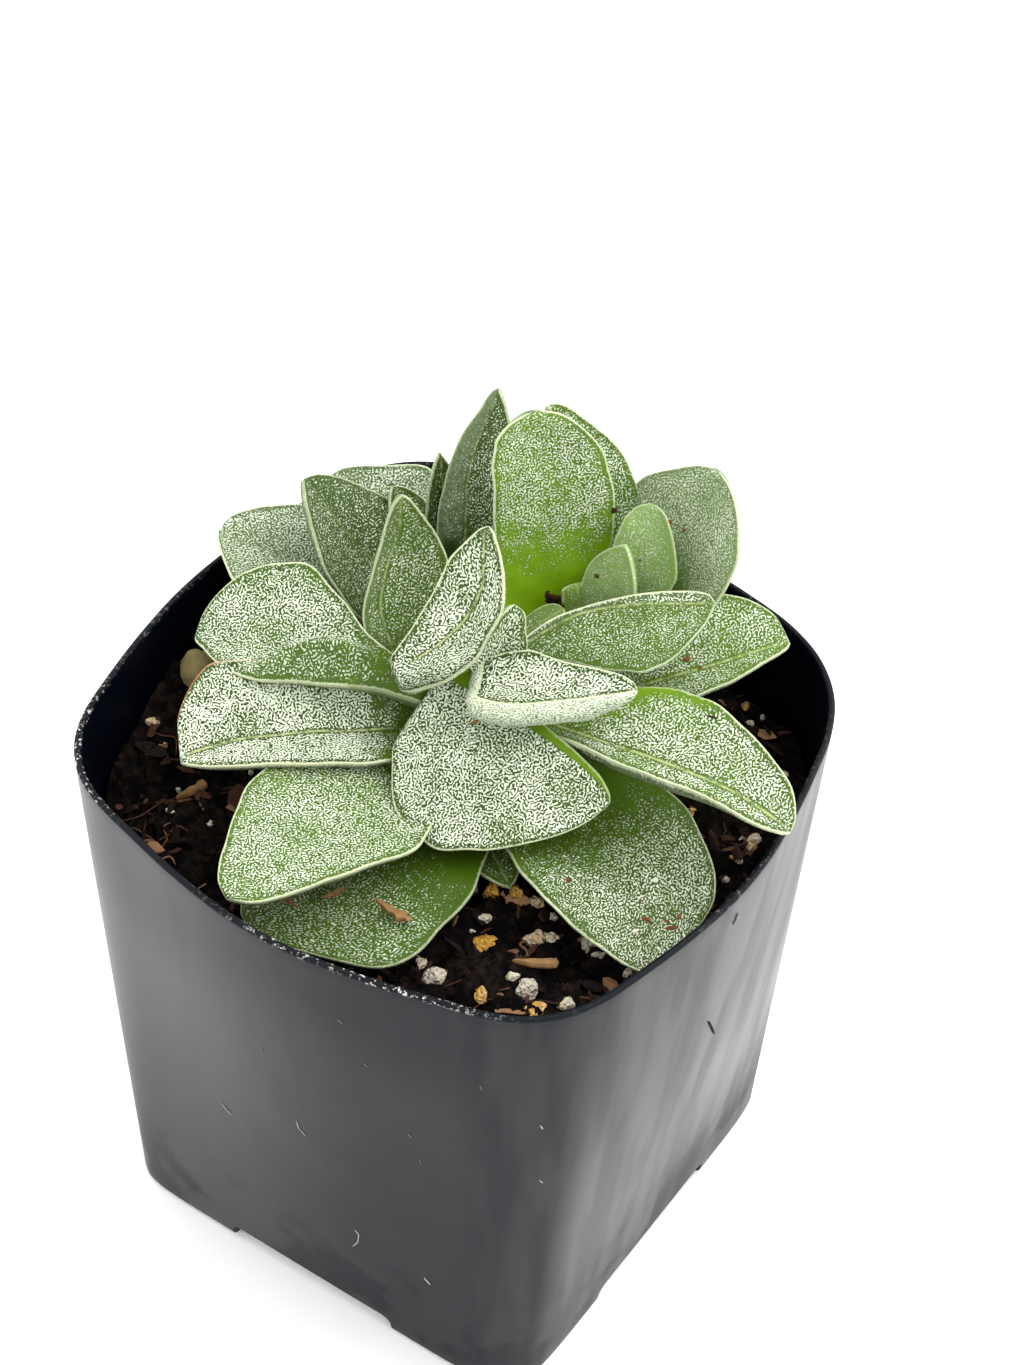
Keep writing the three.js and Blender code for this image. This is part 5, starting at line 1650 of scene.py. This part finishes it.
class SUCCULENT_OT_marks(bpy.types.Operator):
    """Make the specks on the leaves, the loose grains, and the lint and scratches on the pot"""

    bl_idname = "succulent.marks"
    bl_label = "Specks and lint"

    def execute(self, context):
        dirt = bit_material("speck", (40, 26, 20), (130, 84, 50), (214, 206, 190), 2600.0, 0.0001)
        bits = []
        for number, (across, down, long, wide, turn, tint) in enumerate(SPECKS):
            speck = lump((long, wide, 0.6 * wide), SPECK_SHAPES + number, rows=9, columns=12, rough=0.14)
            bits.append((laid(speck, turn, *landed(context, across, down)), tint))
        place_bits("leaf_specks", bits, dirt, "bark")

        bits = []
        for number, (across, down, *size, turn, tint) in enumerate(LOOSE):
            grain = lump(size, LOOSE_SHAPES + number, rows=15, columns=22, rough=0.13)
            bits.append((laid(grain, turn, landed(context, across, down)[0], UPWARDS), tint))
        place_bits("loose_grains", bits, perlite_material(), "perlite")

        fluff = bit_material("lint", (20, 20, 22), (100, 96, 90), (160, 160, 157), 3000.0, 0.00005)
        bits = []
        for points, thick, tint in LINT:
            spots, facings = zip(*[landed(context, *point) for point in zip(points[::2], points[1::2])])
            spots = np.array(spots) + LINT_LIFT * thick * np.array(facings)
            at, ends = np.linspace(0, len(spots) - 1, 12), np.arange(len(spots))
            path = np.stack([np.interp(at, ends, spots[:, axis]) for axis in range(3)], -1)
            bits.append((strand(path, thick), tint))
        place_bits("pot_lint", bits, fluff, "bark")
        return {"FINISHED"}


class SUCCULENT_OT_stage(bpy.types.Operator):
    """Make the pale floor, the soft studio light and the camera"""

    bl_idname = "succulent.stage"
    bl_label = "Floor, light and camera"

    def execute(self, context):
        settings = context.scene.succulent.stage
        rings = circle(96) * np.array([4000, 200])[:, None, None]
        disc = make_mesh("floor", tube(rings, np.array([0, 0, -2.0]), np.zeros(3)), crease=30)
        disc.materials.append(floor_material(settings))
        self.shown(context, "floor", disc)

        world = bpy.data.worlds.new("studio")
        world.use_nodes = True
        sky = world.node_tree.nodes["Background"].inputs
        sky["Color"].default_value, sky["Strength"].default_value = (1, 1, 1, 1), settings.sky
        context.scene.world = world
        lamp = bpy.data.lights.new("key", "AREA")
        lamp.energy, lamp.size = settings.key, settings.lamp_size
        holder = self.shown(context, "key", lamp)
        holder.location = LAMP_AT
        holder.rotation_euler = (LAMP_AIM - LAMP_AT).to_track_quat("-Z", "Y").to_euler()
        context.scene.view_settings.view_transform = "Standard"

        lens = bpy.data.cameras.new("camera")
        lens.sensor_fit, lens.sensor_height, lens.lens = "VERTICAL", VIEW_SENSOR, VIEW_LENS
        lens.clip_start, lens.clip_end = 0.01, 50.0
        camera = self.shown(context, "camera", lens)
        axes = view_axes()
        spot = Vector((VIEW_TARGET + axes[2] * VIEW_DISTANCE) * MM)
        camera.matrix_world = Matrix.Translation(spot) @ Matrix(axes).transposed().to_4x4()
        context.scene.camera = camera
        return {"FINISHED"}

    def shown(self, context, name, data):
        """A new object in the scene."""
        item = bpy.data.objects.new(name, data)
        context.scene.collection.objects.link(item)
        return item


PARTS = (SUCCULENT_OT_stage, SUCCULENT_OT_pot, SUCCULENT_OT_soil, SUCCULENT_OT_litter, SUCCULENT_OT_grains,
         SUCCULENT_OT_bark, SUCCULENT_OT_stems, SUCCULENT_OT_leaves, SUCCULENT_OT_marks)


class SUCCULENT_PT_panel(bpy.types.Panel):
    """The steps, in order, and what can be changed before them"""

    bl_idname = "SUCCULENT_PT_panel"
    bl_label = "Potted succulent"
    bl_space_type = "VIEW_3D"
    bl_region_type = "UI"
    bl_category = "Succulent"

    def draw(self, context):
        for part in PARTS:
            self.layout.operator(part.bl_idname)
        for group in ("pot", "soil", "leaves", "stage"):
            box = self.layout.box()
            box.label(text=group.capitalize())
            settings = getattr(context.scene.succulent, group)
            for name in type(settings).__annotations__:
                box.prop(settings, name)


CLASSES = (PotSettings, SoilSettings, LeafSettings, StageSettings, Settings, *PARTS, SUCCULENT_PT_panel)


def register():
    for item in CLASSES:
        bpy.utils.register_class(item)
    bpy.types.Scene.succulent = PointerProperty(type=Settings)


def unregister():
    del bpy.types.Scene.succulent
    for item in reversed(CLASSES):
        bpy.utils.unregister_class(item)


def main():
    """Makes everything in order."""
    register()
    for part in PARTS:
        family, _, step = part.bl_idname.partition(".")
        if getattr(getattr(bpy.ops, family), step)() != {"FINISHED"}:
            raise RuntimeError(f"{part.bl_idname} did not finish")


if __name__ == "__main__":
    main()
